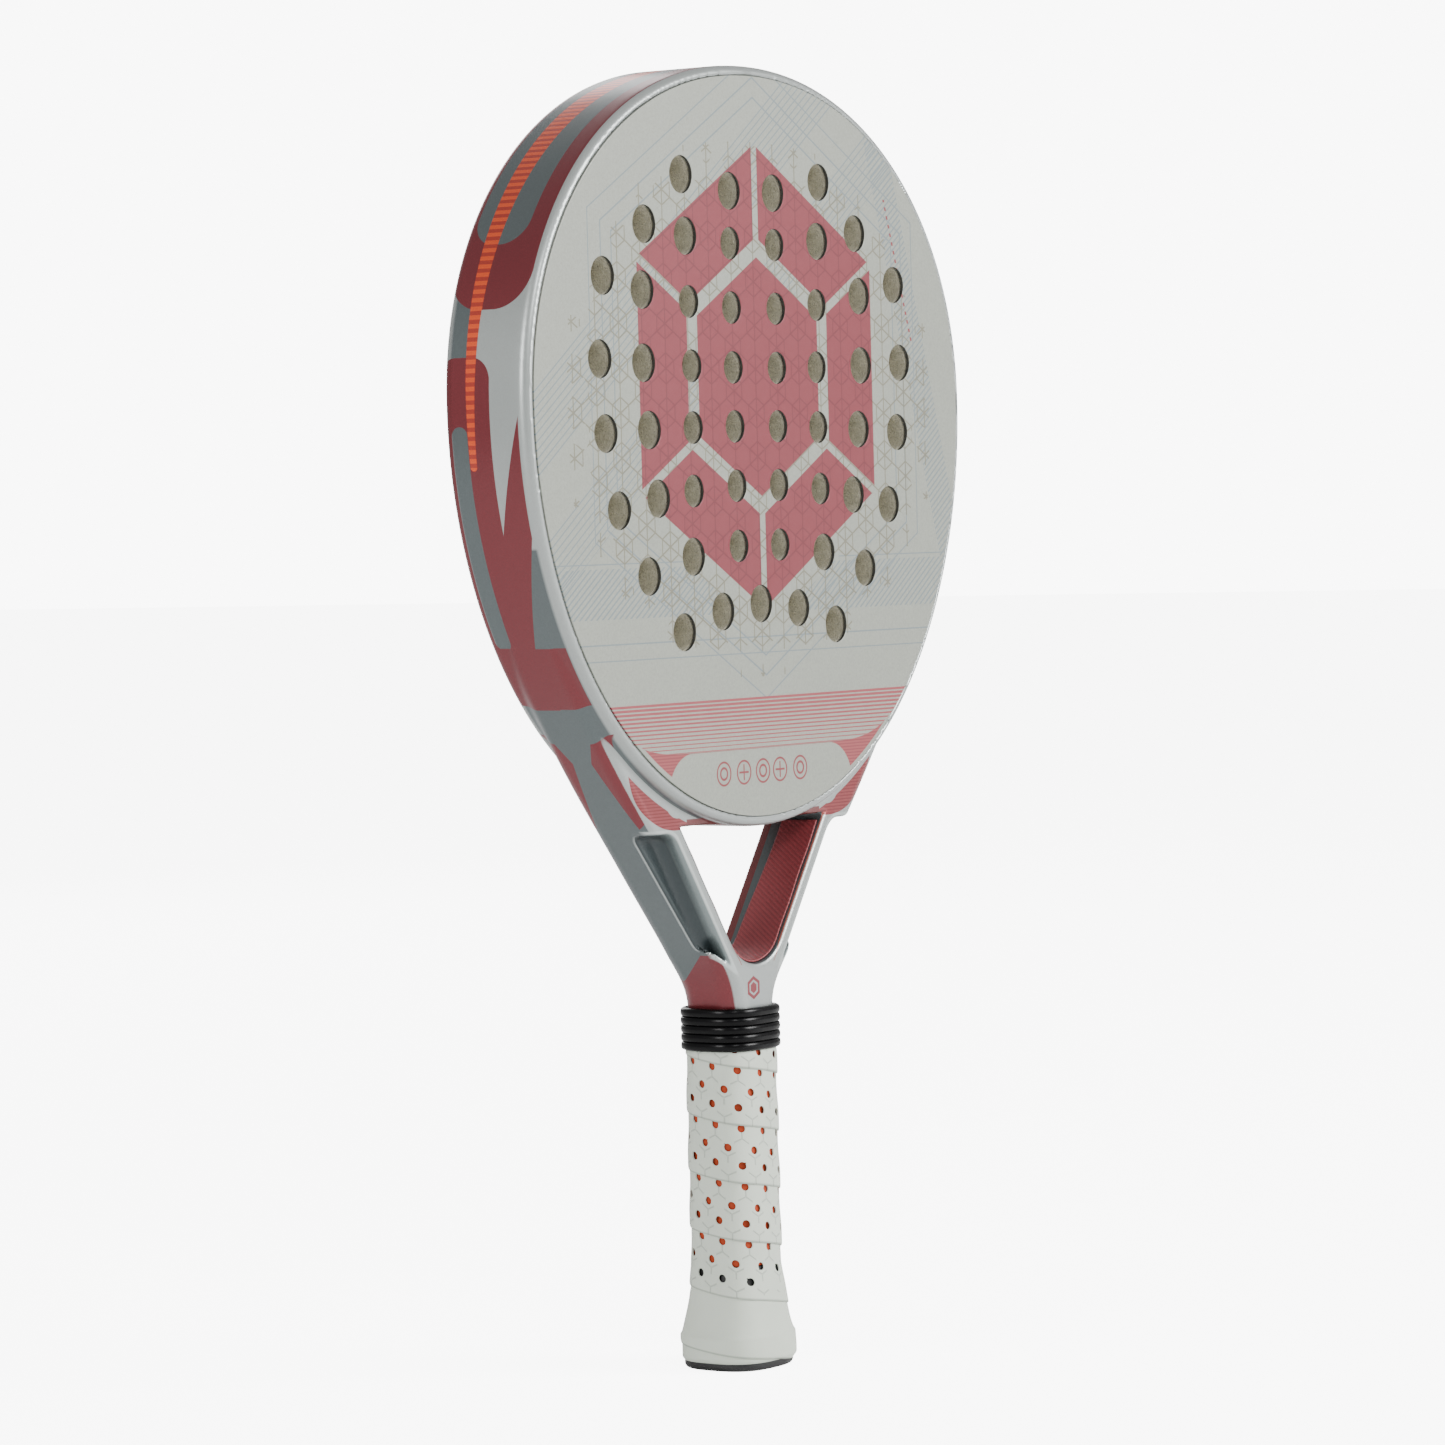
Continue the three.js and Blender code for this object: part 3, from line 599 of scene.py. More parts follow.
def drilled_plate(name, inset, half, middle_y, edge, hole_growth=0.0):
    """A filled flat curve: the head's outline with a ring for each hole, thickened both ways."""
    curve = bpy.data.curves.new(name, "CURVE")
    curve.dimensions = "2D"
    curve.fill_mode = "BOTH"
    curve.extrude = (half - edge) * MM
    curve.bevel_depth = edge * MM
    curve.bevel_resolution = 2
    curve.offset = -edge * MM
    rings = [head_ring(inset)] + [circle(x, z, radius + hole_growth) for x, z, radius in holes]
    for ring in rings:
        spline = curve.splines.new("POLY")
        spline.points.add(len(ring) - 1)
        flat = np.column_stack([ring * MM, np.zeros(len(ring)), np.ones(len(ring))])
        spline.points.foreach_set("co", flat.ravel())
        spline.use_cyclic_u = True
    shape = bpy.data.objects.new(name, curve)
    bpy.context.collection.objects.link(shape)
    graph = bpy.context.evaluated_depsgraph_get()
    mesh = bpy.data.meshes.new_from_object(shape.evaluated_get(graph))
    bpy.data.objects.remove(shape)
    co = np.empty(3 * len(mesh.vertices))
    mesh.vertices.foreach_get("co", co)
    co = co.reshape(-1, 3)
    mesh.vertices.foreach_set("co", np.column_stack([co[:, 0], co[:, 2] + middle_y * MM, co[:, 1]]).ravel())
    form = bmesh.new()
    form.from_mesh(mesh)
    bmesh.ops.remove_doubles(form, verts=form.verts, dist=1e-6)
    bmesh.ops.recalc_face_normals(form, faces=form.faces)
    form.to_mesh(mesh)
    form.free()
    normals = np.empty(3 * len(mesh.polygons))
    mesh.polygons.foreach_get("normal", normals)
    rounded = np.abs(normals.reshape(-1, 3)[:, 1]) < 0.999
    mesh.shade_smooth()
    mesh.set_sharp_from_angle(angle=np.radians(35))
    for polygon_face, is_rounded in zip(mesh.polygons, rounded.tolist()):
        polygon_face.use_smooth = is_rounded
    piece = bpy.data.objects.new(name, mesh)
    bpy.context.collection.objects.link(piece)
    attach(piece, "racket")
    box = [np.round(np.array(corner) / MM, 1) for corner in zip(*piece.bound_box)]
    print(f"{name}: {len(mesh.polygons)} faces, x {box[0].min()} to {box[0].max()}")
    return piece


PLATE_EDGE = 0.2
skin_half = skin_thickness / 2
skin_middle = half_thickness - skin_half
front_face = drilled_plate("front_face", EDGE_ROUND, skin_half, -skin_middle, PLATE_EDGE)
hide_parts("face_skin_front")
back_face = drilled_plate("back_face", EDGE_ROUND, skin_half, skin_middle, PLATE_EDGE)
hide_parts("face_skin_back")
foam_core = drilled_plate("foam_core", RIM_WIDTH + CLEARANCE, core_half_depth, 0, 0.0)
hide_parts("core_foam")

# %% [markdown]
# ## The woven ply in the throat
#
# A strip of ribbed cloth is bonded round the throat's inside. It follows the throat's U, so it is
# a profile carried along that path: first the distance along the U, then the depth into the racket.

# %% The ply
PLY = 0.5
PLY_TOP_GAP = 2.6


def throat_path(offset, count):
    """Places along the throat's U, offset inwards, spaced evenly from the right arm to the left."""
    radius = THROAT_RADIUS - offset
    top = throat_top - PLY_TOP_GAP
    arc = np.linspace(throat_lean, np.pi - throat_lean, 120)
    low = np.column_stack([radius * np.cos(-arc), throat_centre + radius * np.sin(-arc)])
    top_x = THROAT_TOP_HALF_WIDTH - offset / np.cos(throat_lean) - throat_slope * (throat_top - top)
    rough = np.vstack([[[top_x, top]], low, [[-top_x, top]]])
    run = np.concatenate([[0], np.cumsum(np.linalg.norm(np.diff(rough, axis=0), axis=1))])
    even = np.linspace(0, run[-1], count)
    return np.column_stack([np.interp(even, run, rough[:, 0]), np.interp(even, run, rough[:, 1])]), run[-1]


def ply_sheet(along, across):
    """Point at a share along the U and a share across the strip, from its front edge to its back."""
    path, run = throat_path(CLEARANCE + PLY / 2, along)
    share = np.abs(np.linspace(-1, 1, along))
    front = -arm_half_depth + 1.5 + 0.12 * np.cos(6 * np.pi * share)
    back_edge = 6.4 - 2.4 * smooth_step(share, 0.15, 0.95)
    t = np.linspace(0, 1, across)[None, :]
    y = front[:, None] + (back_edge - front)[:, None] * t
    x = np.broadcast_to(path[:, :1], y.shape)
    z = np.broadcast_to(path[:, 1:], y.shape)
    return np.stack([x, y, z], -1).reshape(-1, 3), run


ply_points, ply_run = ply_sheet(220, 36)
throat_ply = new_piece("throat_ply", ply_points, grid_faces(220, 36), slot="rose_weave")
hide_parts("throat_weave_ply")
thickness = throat_ply.modifiers.new("thickness", "SOLIDIFY")
thickness.thickness = PLY * MM
thickness.offset = 0
ply_uv = throat_ply.data.uv_layers.new(name="cloth")
corner_vertex = np.empty(len(throat_ply.data.loops), int)
throat_ply.data.loops.foreach_get("vertex_index", corner_vertex)
cloth = np.column_stack([
    np.repeat(np.linspace(0, ply_run, 220), 36), ply_points[:, 1]
]) * MM
ply_uv.data.foreach_set("uv", cloth[corner_vertex].ravel())
print(f"ply is {ply_run:.0f} mm long")

# %% [markdown]
# ## The butt cap and the cushion grip
#
# The black cap closes the handle and flares at the butt, and the rust cushion is wound above it.
# Both hide under the white tape, but its perforations show them. Each is a closed profile carried
# round the handle's squared section.

# %% The cap
CAP_FLARE_HEIGHT = 12.0
CAP_EDGE = 1.2
CAP_FLOOR = 3.0
CORD_HOLE = 8.0


def flare(z, low_half, high_half):
    """Half width of the butt's flare: straight up to the flare's height, then a root curve."""
    share = np.clip((z - CAP_FLARE_HEIGHT) / (cap_height - CAP_FLARE_HEIGHT), 0, 1)
    return low_half + (high_half - low_half) * np.sqrt(share * share * (2 - share) * 0.5 + share * 0.5)


cap_inner = base_half - 1.6
skirt_heights = np.linspace(CAP_EDGE + 1, cap_height, 26)
edge_turn = np.linspace(0, np.pi / 2, 6)
cap_profile = np.vstack([
    [[CORD_HOLE / 2, 0.9], [CORD_HOLE / 2 + 0.6, 0.3]],
    line((CORD_HOLE / 2 + 1.4, 0.3), (cap_half - 5.0, 0.3), 6),
    [[cap_half - 4.6, 0.0]],
    np.column_stack([cap_half - 1.8 + 1.8 * np.sin(edge_turn), 1.8 - 1.8 * np.cos(edge_turn)]),
    np.column_stack([flare(skirt_heights, cap_half, base_half), skirt_heights]),
    line((cap_inner, cap_height), (cap_inner, CAP_FLOOR), 12),
    line((CORD_HOLE / 2 + 0.4, CAP_FLOOR), (CORD_HOLE / 2, CAP_FLOOR - 0.4), 3),
])
roundness = smooth_step(cap_profile[:, 0], CORD_HOLE / 2 + 0.7, cap_half - 6)
cap_shape = turned(
    cap_profile, 128, 2 + (GRIP_SQUARENESS - 2) * roundness, 1 + (grip_depth_ratio - 1) * roundness
)
end_cap = new_piece("end_cap", *cap_shape, slot="black_plastic", sharp=40)
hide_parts("butt_cap")

# %% The cushion grip
cushion_inner = base_half - 1.6
cushion_round = np.linspace(0, np.pi / 2, 4)
cushion_profile = np.vstack([
    np.column_stack([
        base_half - 0.4 + 0.4 * np.sin(cushion_round),
        base_bottom + 0.4 - 0.4 * np.cos(cushion_round),
    ]),
    line((base_half, base_bottom + 1), (base_half, base_top - 4.2), 60),
    line((base_half - 0.6, base_top - 3.8), (base_half - 0.6, base_top), 5),
    line((cushion_inner, base_top), (cushion_inner, base_bottom), 30),
])
cushion = new_piece("cushion", *turned(cushion_profile, 128), slot="rust_cushion")
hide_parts("base_grip")

# %% [markdown]
# ## The overgrip
#
# White perforated tape is wound up the handle from the butt. Each turn laps over the one below, so
# its lower edge stands proud, and slopes back down to the cushion. The tape is a strip: one
# direction runs along it and round the handle, the other across it. The perforations are real
# holes: the strip's faces inside each one are left out, and the strip's two sides are joined by
# walls wherever a face is missing.

# %% The tape's sizes and its path
TAPE_WIDTH = 25.0
TAPE_THICKNESS = 0.5
PITCH = 20.3
LAP = TAPE_WIDTH - PITCH
LAP_SLOPE = 12.0
SEAM_ANGLE = np.radians(126)
SEAM_HEIGHT = 30.8
SEAM_WAVE = 0.9
PERFORATION = 1.4
PERFORATION_GAP = 9.7
PERFORATION_ROWS = np.array([6.2, 12.0, 19.2])
LOWEST_PERFORATION = 29.5
wrap_outer = base_half + 0.3 + TAPE_THICKNESS
butt_outer = cap_half + 0.25 + TAPE_THICKNESS


def wrap_half(z):
    """Half width of the wrapping's base surface at a height, with the butt's lower edge drawn in."""
    half = flare(z, butt_outer, wrap_outer)
    half = half - 1.3 * smooth_step(4.2 - z, 0, 2.4)
    return half - 0.6 * smooth_step(z, wrap_top - 6, wrap_top - 3)


TURN_LENGTH = 2 * np.pi * wrap_outer * 1.02
first_turn = -2.6
last_turn = (wrap_top - SEAM_HEIGHT) / PITCH + 0.2
turn_steps = 152
strip_rows = int((last_turn - first_turn) * turn_steps)
strip_columns = 44
turns = np.linspace(first_turn, last_turn, strip_rows)[:, None]
offsets = np.linspace(0, TAPE_WIDTH, strip_columns)[None, :]
print(f"tape makes {last_turn - first_turn:.1f} turns")

# %% Perforations: points near a hole's edge are moved on to it
strip_along = np.broadcast_to(turns * TURN_LENGTH, (strip_rows, strip_columns)).copy()
strip_across = np.broadcast_to(offsets, (strip_rows, strip_columns)).copy()
row = np.abs(strip_across[..., None] - PERFORATION_ROWS).argmin(-1)
row_shift = PERFORATION_GAP / 2 * (row % 2)
column = np.round((strip_along - row_shift) / PERFORATION_GAP)
from_hole_x = strip_along - row_shift - column * PERFORATION_GAP
from_hole_y = strip_across - PERFORATION_ROWS[row]
hole_turn = (row_shift + column * PERFORATION_GAP) / TURN_LENGTH
hole_height = SEAM_HEIGHT + PITCH * hole_turn + PERFORATION_ROWS[row]
from_hole = np.hypot(from_hole_x, from_hole_y)
from_hole[hole_height < LOWEST_PERFORATION] = 10 * PERFORATION
cell = TAPE_WIDTH / (strip_columns - 1)
on_edge = (from_hole > PERFORATION - 0.5 * cell) & (from_hole < PERFORATION + 0.92 * cell)
pull = np.where(on_edge, PERFORATION / np.maximum(from_hole, 1e-6), 1)
strip_along += from_hole_x * (pull - 1)
strip_across += from_hole_y * (pull - 1)
inside_hole = (from_hole < PERFORATION) & ~on_edge
print("strip points on the edge of a perforation:", int(on_edge.sum()))

# %% The strip's two sides
def strip_side(depth):
    """The strip wound round the handle, with its surface depth below the outside.
    The height climbs one pitch a turn, and the lap lifts the strip by its own thickness."""
    turn = strip_along / TURN_LENGTH
    angle = SEAM_ANGLE - 2 * np.pi * turn
    wave = SEAM_WAVE * np.sin(angle - np.radians(216))
    z = SEAM_HEIGHT + PITCH * turn + wave + strip_across
    z = np.clip(z, wrap_bottom - 1.0, wrap_top)
    lift = (TAPE_THICKNESS + 0.04) * (1 - smooth_step(strip_across, LAP, LAP + LAP_SLOPE))
    lift = lift * smooth_step(turn, first_turn + 0.4, first_turn + 1.0)
    edge = 0.16 * (1 - smooth_step(strip_across, 0, 0.8)) if depth == 0 else 0
    squeeze = 0.13 * smooth_step(1.4 - from_hole / PERFORATION, 0, 0.4) if depth == 0 else 0
    half = wrap_half(z) + lift - depth - edge - squeeze
    x, y = section(angle, half, GRIP_SQUARENESS, grip_depth_ratio)
    return np.stack([x, y, z], -1).reshape(-1, 3)


outside = strip_side(0)
inside_points = strip_side(TAPE_THICKNESS)
quads = grid_faces(strip_rows, strip_columns)
missing = inside_hole.ravel()[quads].any(1)
heights = outside[:, 2][quads]
flat = (heights.max(1) - heights.min(1)) < 1e-6
kept = quads[~(missing | flat)]
edges = np.stack([kept, np.roll(kept, -1, 1)], -1).reshape(-1, 2)
key = np.sort(edges, 1)
code = key[:, 0] * len(outside) + key[:, 1]
_, first_place, uses = np.unique(code, return_index=True, return_counts=True)
rim = edges[first_place[uses == 1]]
shift = len(outside)
walls = np.column_stack([rim[:, 1], rim[:, 0], rim[:, 0] + shift, rim[:, 1] + shift])
tape_points = np.vstack([outside, inside_points])
tape_faces = np.vstack([kept, kept[:, ::-1] + shift, walls])
used = np.unique(tape_faces)
renumber = np.zeros(len(tape_points), int)
renumber[used] = np.arange(len(used))
tape_points = tape_points[used]
tape_faces = renumber[tape_faces]
corner = tape_points[tape_faces[:len(kept)]]
outward = np.einsum("ij,ij->i", np.cross(corner[:, 1] - corner[:, 0], corner[:, 2] - corner[:, 1]),
                    corner[:, 0] * [1, 1, 0]).sum()
if outward < 0:
    tape_faces = tape_faces[:, ::-1]
wound_tape = new_piece("wound_tape", tape_points, tape_faces, slot="white_overgrip", sharp=55)
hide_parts("overgrip")
tape_uv = wound_tape.data.uv_layers.new(name="tape")
corner_vertex = np.empty(len(wound_tape.data.loops), int)
wound_tape.data.loops.foreach_get("vertex_index", corner_vertex)
unrolled = np.column_stack([strip_along.ravel(), strip_across.ravel()])
unrolled = np.vstack([unrolled, unrolled])[used] * MM
tape_uv.data.foreach_set("uv", unrolled[corner_vertex].ravel())
tape_length = TURN_LENGTH * (last_turn - first_turn) * MM
print(f"tape is {tape_length:.2f} m long")

# %% [markdown]
# ## The rubber collar
#
# A rubber sleeve with five rings hides the tape's end. Its profile is one closed line: five round
# rings outside, the lip in to the neck, then the bore back down.

# %% The collar
RINGS = 5
RING_DEPTH = 0.85
LIP_HEIGHT = 2.2
collar_height = handle_top - collar_bottom
ring_share = np.linspace(0, 1, 15)[:-1]
ring_bulge = np.sqrt(np.maximum(1 - (2 * ring_share - 1) ** 2, 0)) ** 0.8
ring_number = np.arange(RINGS)[:, None] + ring_share[None, :]
ring_z = collar_bottom + 0.15 + (collar_height - 0.3) / RINGS * ring_number
ring_half = np.broadcast_to(collar_half - RING_DEPTH * (1 - ring_bulge), ring_z.shape)
bore = collar_half - 1.2
neck_gap = NECK_WIDTH / 2 + 3 * CLEARANCE
collar_profile = np.vstack([
    [[bore, collar_bottom + 0.1], [bore + 0.2, collar_bottom]],
    np.column_stack([ring_half.ravel(), ring_z.ravel()]),
    [[collar_half - RING_DEPTH - 0.1, handle_top]],
    line((collar_half - RING_DEPTH - 0.6, handle_top), (neck_gap + 0.3, handle_top), 4),
    [[neck_gap, handle_top - 0.3], [neck_gap, handle_top - LIP_HEIGHT]],
    line((bore, handle_top - LIP_HEIGHT - 0.1), (bore, collar_bottom + 0.6), 8),
])
near_neck = smooth_step(bore - collar_profile[:, 0], 0.1, bore - neck_gap)
collar_shape = turned(collar_profile, 128, GRIP_SQUARENESS + 0.9 * near_neck)
rubber_collar = new_piece("rubber_collar", *collar_shape, body="collar", slot="black_rubber", sharp=70)
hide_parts("grip_collar")

# %% [markdown]
# ## Writing a finish as arithmetic
#
# A painted pattern is a sum of simple shapes: half planes, circles and repeated stripes, each a
# signed distance in millimetres. Blender's Math nodes do that arithmetic. The small class below
# lets the script write it as formulas, and adds one node for each operation.

# %% Numbers that vary over a surface
class Field:
    """One output of a node tree. Arithmetic on it adds Math nodes."""

    def __init__(self, tree, socket):
        self.tree = tree
        self.socket = socket

    def node(self, operation, *others, clamp=False):
        item = self.tree.nodes.new("ShaderNodeMath")
        item.operation = operation
        item.use_clamp = clamp
        for place, value in enumerate((self, *others)):
            feed(self.tree, value, item.inputs[place])
        return Field(self.tree, item.outputs[0])

    def __add__(self, other):
        return self.node("ADD", other)

    def __sub__(self, other):
        return self.node("SUBTRACT", other)

    def __mul__(self, other):
        return self.node("MULTIPLY", other)

    def __truediv__(self, other):
        return self.node("DIVIDE", other)

    def __neg__(self):
        return self.node("MULTIPLY", -1)

    def __rsub__(self, other):
        return (-self) + other

    __radd__ = __add__
    __rmul__ = __mul__

    def __abs__(self):
        return self.node("ABSOLUTE")

    def least(self, *others):
        result = self
        for other in others:
            result = result.node("MINIMUM", other)
        return result

    def most(self, *others):
        result = self
        for other in others:
            result = result.node("MAXIMUM", other)
        return result

    def fract(self):
        return self.node("FRACT")

    def repeat(self, pitch, middle=0.0):
        """Distance from the nearest of a row of lines, pitch apart."""
        return abs(((self - middle) / pitch + 0.5).fract() - 0.5) * pitch

    def ink(self, blur=0.12):
        """1 where the distance is negative, 0 where it is positive, with a soft edge."""
        return self.node("MULTIPLY_ADD", -1 / blur, 0.5, clamp=True)


def feed(tree, value, socket):
    """Links a Field or another node's output to a socket, or sets the socket's own value."""
    if isinstance(value, Field):
        tree.links.new(value.socket, socket)
    elif isinstance(value, bpy.types.NodeSocket):
        tree.links.new(value, socket)
    else:
        socket.default_value = value


class Finish:
    """A material being built: its tree, its shader and the place on the piece in millimetres."""

    def __init__(self, name, roughness, metallic=0.0, coat=0.0, coat_roughness=0.1, specular=0.5, sheen=0.0):
        self.material = bpy.data.materials.new(name)
        self.material.use_nodes = True
        self.tree = self.material.node_tree
        self.shader = self.tree.nodes["Principled BSDF"]
        inputs = self.shader.inputs
        inputs["Roughness"].default_value = roughness
        inputs["Metallic"].default_value = metallic
        inputs["Coat Weight"].default_value = coat
        inputs["Coat Roughness"].default_value = coat_roughness
        inputs["Specular IOR Level"].default_value = specular
        inputs["Sheen Weight"].default_value = sheen
        self.coords = self.tree.nodes.new("ShaderNodeTexCoord")

    def place(self, output="Object"):
        """x, y and z as Fields, in millimetres."""
        parts = self.tree.nodes.new("ShaderNodeSeparateXYZ")
        self.tree.links.new(self.coords.outputs[output], parts.inputs[0])
        return [Field(self.tree, socket) * (1 if output == "Normal" else 1 / MM) for socket in parts.outputs]

    def noise(self, scale, detail=2.0, roughness=0.5, output="Object"):
        """Cloudy noise from 0 to 1 with scale lumps in a metre."""
        item = self.tree.nodes.new("ShaderNodeTexNoise")
        item.inputs["Scale"].default_value = scale
        item.inputs["Detail"].default_value = detail
        item.inputs["Roughness"].default_value = roughness
        self.tree.links.new(self.coords.outputs[output], item.inputs["Vector"])
        return Field(self.tree, item.outputs[0])

    def cells(self, scale, feature="F1", output="Object"):
        item = self.tree.nodes.new("ShaderNodeTexVoronoi")
        item.feature = feature
        item.inputs["Scale"].default_value = scale
        self.tree.links.new(self.coords.outputs[output], item.inputs["Vector"])
        return Field(self.tree, item.outputs[0])

    def mix(self, base, colour, amount):
        """base with colour laid over it by amount."""
        item = self.tree.nodes.new("ShaderNodeMix")
        item.data_type = "RGBA"
        feed(self.tree, amount, item.inputs[0])
        feed(self.tree, base, item.inputs[6])
        feed(self.tree, colour, item.inputs[7])
        return item.outputs[2]

    def shaded(self, colour, value):
        """A colour made lighter or darker by a number near 1."""
        item = self.tree.nodes.new("ShaderNodeVectorMath")
        item.operation = "SCALE"
        feed(self.tree, colour if isinstance(colour, bpy.types.NodeSocket) else colour[:3], item.inputs[0])
        feed(self.tree, value, item.inputs["Scale"])
        return item.outputs[0]

    def colour(self, value):
        feed(self.tree, value, self.shader.inputs["Base Color"])

    def bump(self, height, depth):
        """Relief: height runs from 0 to 1 and stands for depth millimetres."""
        item = self.tree.nodes.new("ShaderNodeBump")
        item.inputs["Distance"].default_value = depth * MM
        item.inputs["Strength"].default_value = 1.0
        feed(self.tree, height, item.inputs["Height"])
        self.tree.links.new(item.outputs[0], self.shader.inputs["Normal"])
        self.tree.links.new(item.outputs[0], self.shader.inputs["Coat Normal"])


def dress(piece, finish):
    """Gives a piece its material, in every slot it has."""
    if not piece.material_slots:
        piece.data.materials.append(finish.material)
    for place in piece.material_slots:
        place.material = finish.material


def rgb(red, green, blue):
    """A colour from display values of 0 to 255, as the linear numbers that a shader takes."""
    display = np.array([red, green, blue]) / 255
    linear = np.where(display <= 0.04045, display / 12.92, ((display + 0.055) / 1.055) ** 2.4)
    return (*linear.tolist(), 1.0)


SILVER = rgb(145, 148, 139)
STEEL_GREY = rgb(84, 92, 93)
ROSE = rgb(122, 48, 56)
ROSE_LINE = rgb(92, 30, 38)
DEEP_ROSE = rgb(109, 37, 43)
ORANGE = rgb(222, 80, 34)
BURNT_ORANGE = rgb(166, 52, 38)
PALE_BLUE = rgb(104, 118, 125)
BEIGE = rgb(110, 106, 88)

# %% [markdown]
# ## The painted faces
#
# The faces are satin silver with a fine metallic grain. Over that lie pale line art, a lattice of
# stars round the holes, a large rose hexagon, and a striped panel with five plain badges.

# %% Face paint: grain, line art and lattice
face = Finish("face_paint", roughness=0.42, metallic=0.25, coat=0.25, coat_roughness=0.28)
fx, _, fz = face.place()
grain = face.noise(1100, 3.0, 0.75)
cloud = face.noise(9, 2.0)
paint = face.shaded(SILVER, grain * 0.56 + cloud * 0.05 + 0.69)

ART_LEAN = np.radians(36.5)
art_across = fz * np.cos(ART_LEAN) - fx * np.sin(ART_LEAN)
art_lines = art_across.repeat(2.3) - 0.24
band_low = abs(art_across - 297) - 9.5
band_high = abs(art_across - 338) - 12.0
bands = art_lines.most(band_low.least(band_high))
hatch_low = (art_across.repeat(1.9) - 0.32).most(abs(fz - 273.5) - 8.5)
rails = abs(fz - 256.5) - 0.25
rails = rails.least(abs(fz - 251.0) - 0.2).least(abs(fz - 283.6) - 0.2)
side_hatch = (art_across.repeat(1.9) - 0.32).most(abs(fx * 0.96 + fz * 0.28 - 195) - 7)

HEX_MIDDLE = (2.0, 347.0)


def hexagon(x, z, middle, reach, squash=1.0):
    """Signed distance to an upright hexagon: the largest of three slanted widths, less its reach."""
    u = abs(x - middle[0])
    v = abs(z - middle[1]) * squash
    return u.most(u * 0.5 + v * 0.8660) - reach


mark_size = hexagon(fx, fz, HEX_MIDDLE, 0)
outlines = abs(mark_size - 84.0) - 0.3
outlines = outlines.least(abs(mark_size - 90.0) - 0.3).least(abs(mark_size - 97.0) - 0.25)
ART_REACH = 78.0
outside_mark = ART_REACH - mark_size
line_art = bands.least(hatch_low, side_hatch).most(outside_mark)
line_art = line_art.least(rails.most(outside_mark), outlines)
line_art = line_art.least(bands)
paint = face.mix(paint, PALE_BLUE, line_art.ink(0.2) * 0.75)

LATTICE = 15.2


def lattice_lines(x, z, pitch, width):
    """Stars in hexagons: three families of straight lines, and small hexagons round each crossing."""
    tall = pitch * 0.8660
    one = x.repeat(tall) - width
    two = (x * 0.5 + z * 0.8660).repeat(tall) - width
    three = (x * 0.5 - z * 0.8660).repeat(tall) - width
    return one.least(two, three)


def nearest_star(x, z, pitch):
    """Distance from the nearest lattice crossing, counted so that it is even on a hexagon."""
    wide, tall = pitch, pitch * 1.7320508
    first = (x.repeat(tall), z.repeat(wide))
    second = (x.repeat(tall, tall / 2), z.repeat(wide, wide / 2))
    sizes = [u.most(u * 0.5 + v * 0.8660) for u, v in (first, second)]
    return sizes[0].least(sizes[1])


star = nearest_star(fx, fz, LATTICE)
lattice = lattice_lines(fx, fz, LATTICE, 0.3).least(abs(star - 4.6) - 0.27)
field_edge = ((fx / 104) * (fx / 104) + ((fz - 337) / 86) * ((fz - 337) / 86) - 1) * 40
stepped = field_edge + (fz.repeat(15.2) - 3.8) * 1.4 + (fx.repeat(13.2) - 3.3) * 1.2
lattice_shown = lattice.most(stepped).ink(0.2)
paint = face.mix(paint, BEIGE, lattice_shown * 0.8)

# %% Face paint: the rose hexagon
FACET_GAP = 1.6
HEX_REACH = 70.0
RING_INNER = 42.0
GEM_REACH = 36.0
facets = abs(fx - HEX_MIDDLE[0]) - FACET_GAP
facets = facets.least(
    abs((fx - HEX_MIDDLE[0]) * 0.5 + (fz - HEX_MIDDLE[1]) * 0.8660) - FACET_GAP,
    abs((fx - HEX_MIDDLE[0]) * 0.5 - (fz - HEX_MIDDLE[1]) * 0.8660) - FACET_GAP,
)
ring = (mark_size - HEX_REACH).most(-(mark_size - RING_INNER))
gem = (mark_size - GEM_REACH).least(ring.most(-facets))
gem_ink = gem.ink(0.2)
rose_paint = face.shaded(ROSE, grain * 0.16 + 0.92)
rose_paint = face.mix(rose_paint, ROSE_LINE, lattice.ink(0.25) * 0.6)
paint = face.mix(paint, rose_paint, gem_ink)

# %% Face paint: the striped panel
PANEL_TOP = 235.6
STRIPE_PITCH = 1.42
panel_x = abs(fx + 2.0)
smile_turn = ((panel_x - 40).most(0) / 51).node("POWER", 3.24)
smile = 217.9 + smile_turn * 17.4 - fz
fall = (PANEL_TOP - fz) / 18
stripes = (fz - PANEL_TOP + 0.4).repeat(STRIPE_PITCH) - (0.50 - fall * 0.36)
lens = (fz - PANEL_TOP).most(smile)
rose_stripes = stripes.most(lens).ink(0.12)
face_edge = ((fx / 126.4) * (fx / 126.4) + ((fz - head_centre) / 144) * ((fz - head_centre) / 144) - 1) * 70
tongue_u = (panel_x - (55 - 14)).most(0)
tongue_v = (fz - (217.7 - 14)).most(0)
tongue = (tongue_u * tongue_u + tongue_v * tongue_v).node("SQRT") - 14
crescent = (-smile).most(fz - PANEL_TOP + 0.4, face_edge + 1.6, -tongue)
crescent_ribs = (fz.repeat(1.1) - 0.2).ink(0.2)
panel_paint = face.mix(rgb(150, 72, 74), rgb(126, 50, 56), crescent_ribs)
paint = face.mix(paint, rgb(146, 68, 72), rose_stripes)
paint = face.mix(paint, panel_paint, crescent.ink(0.2))

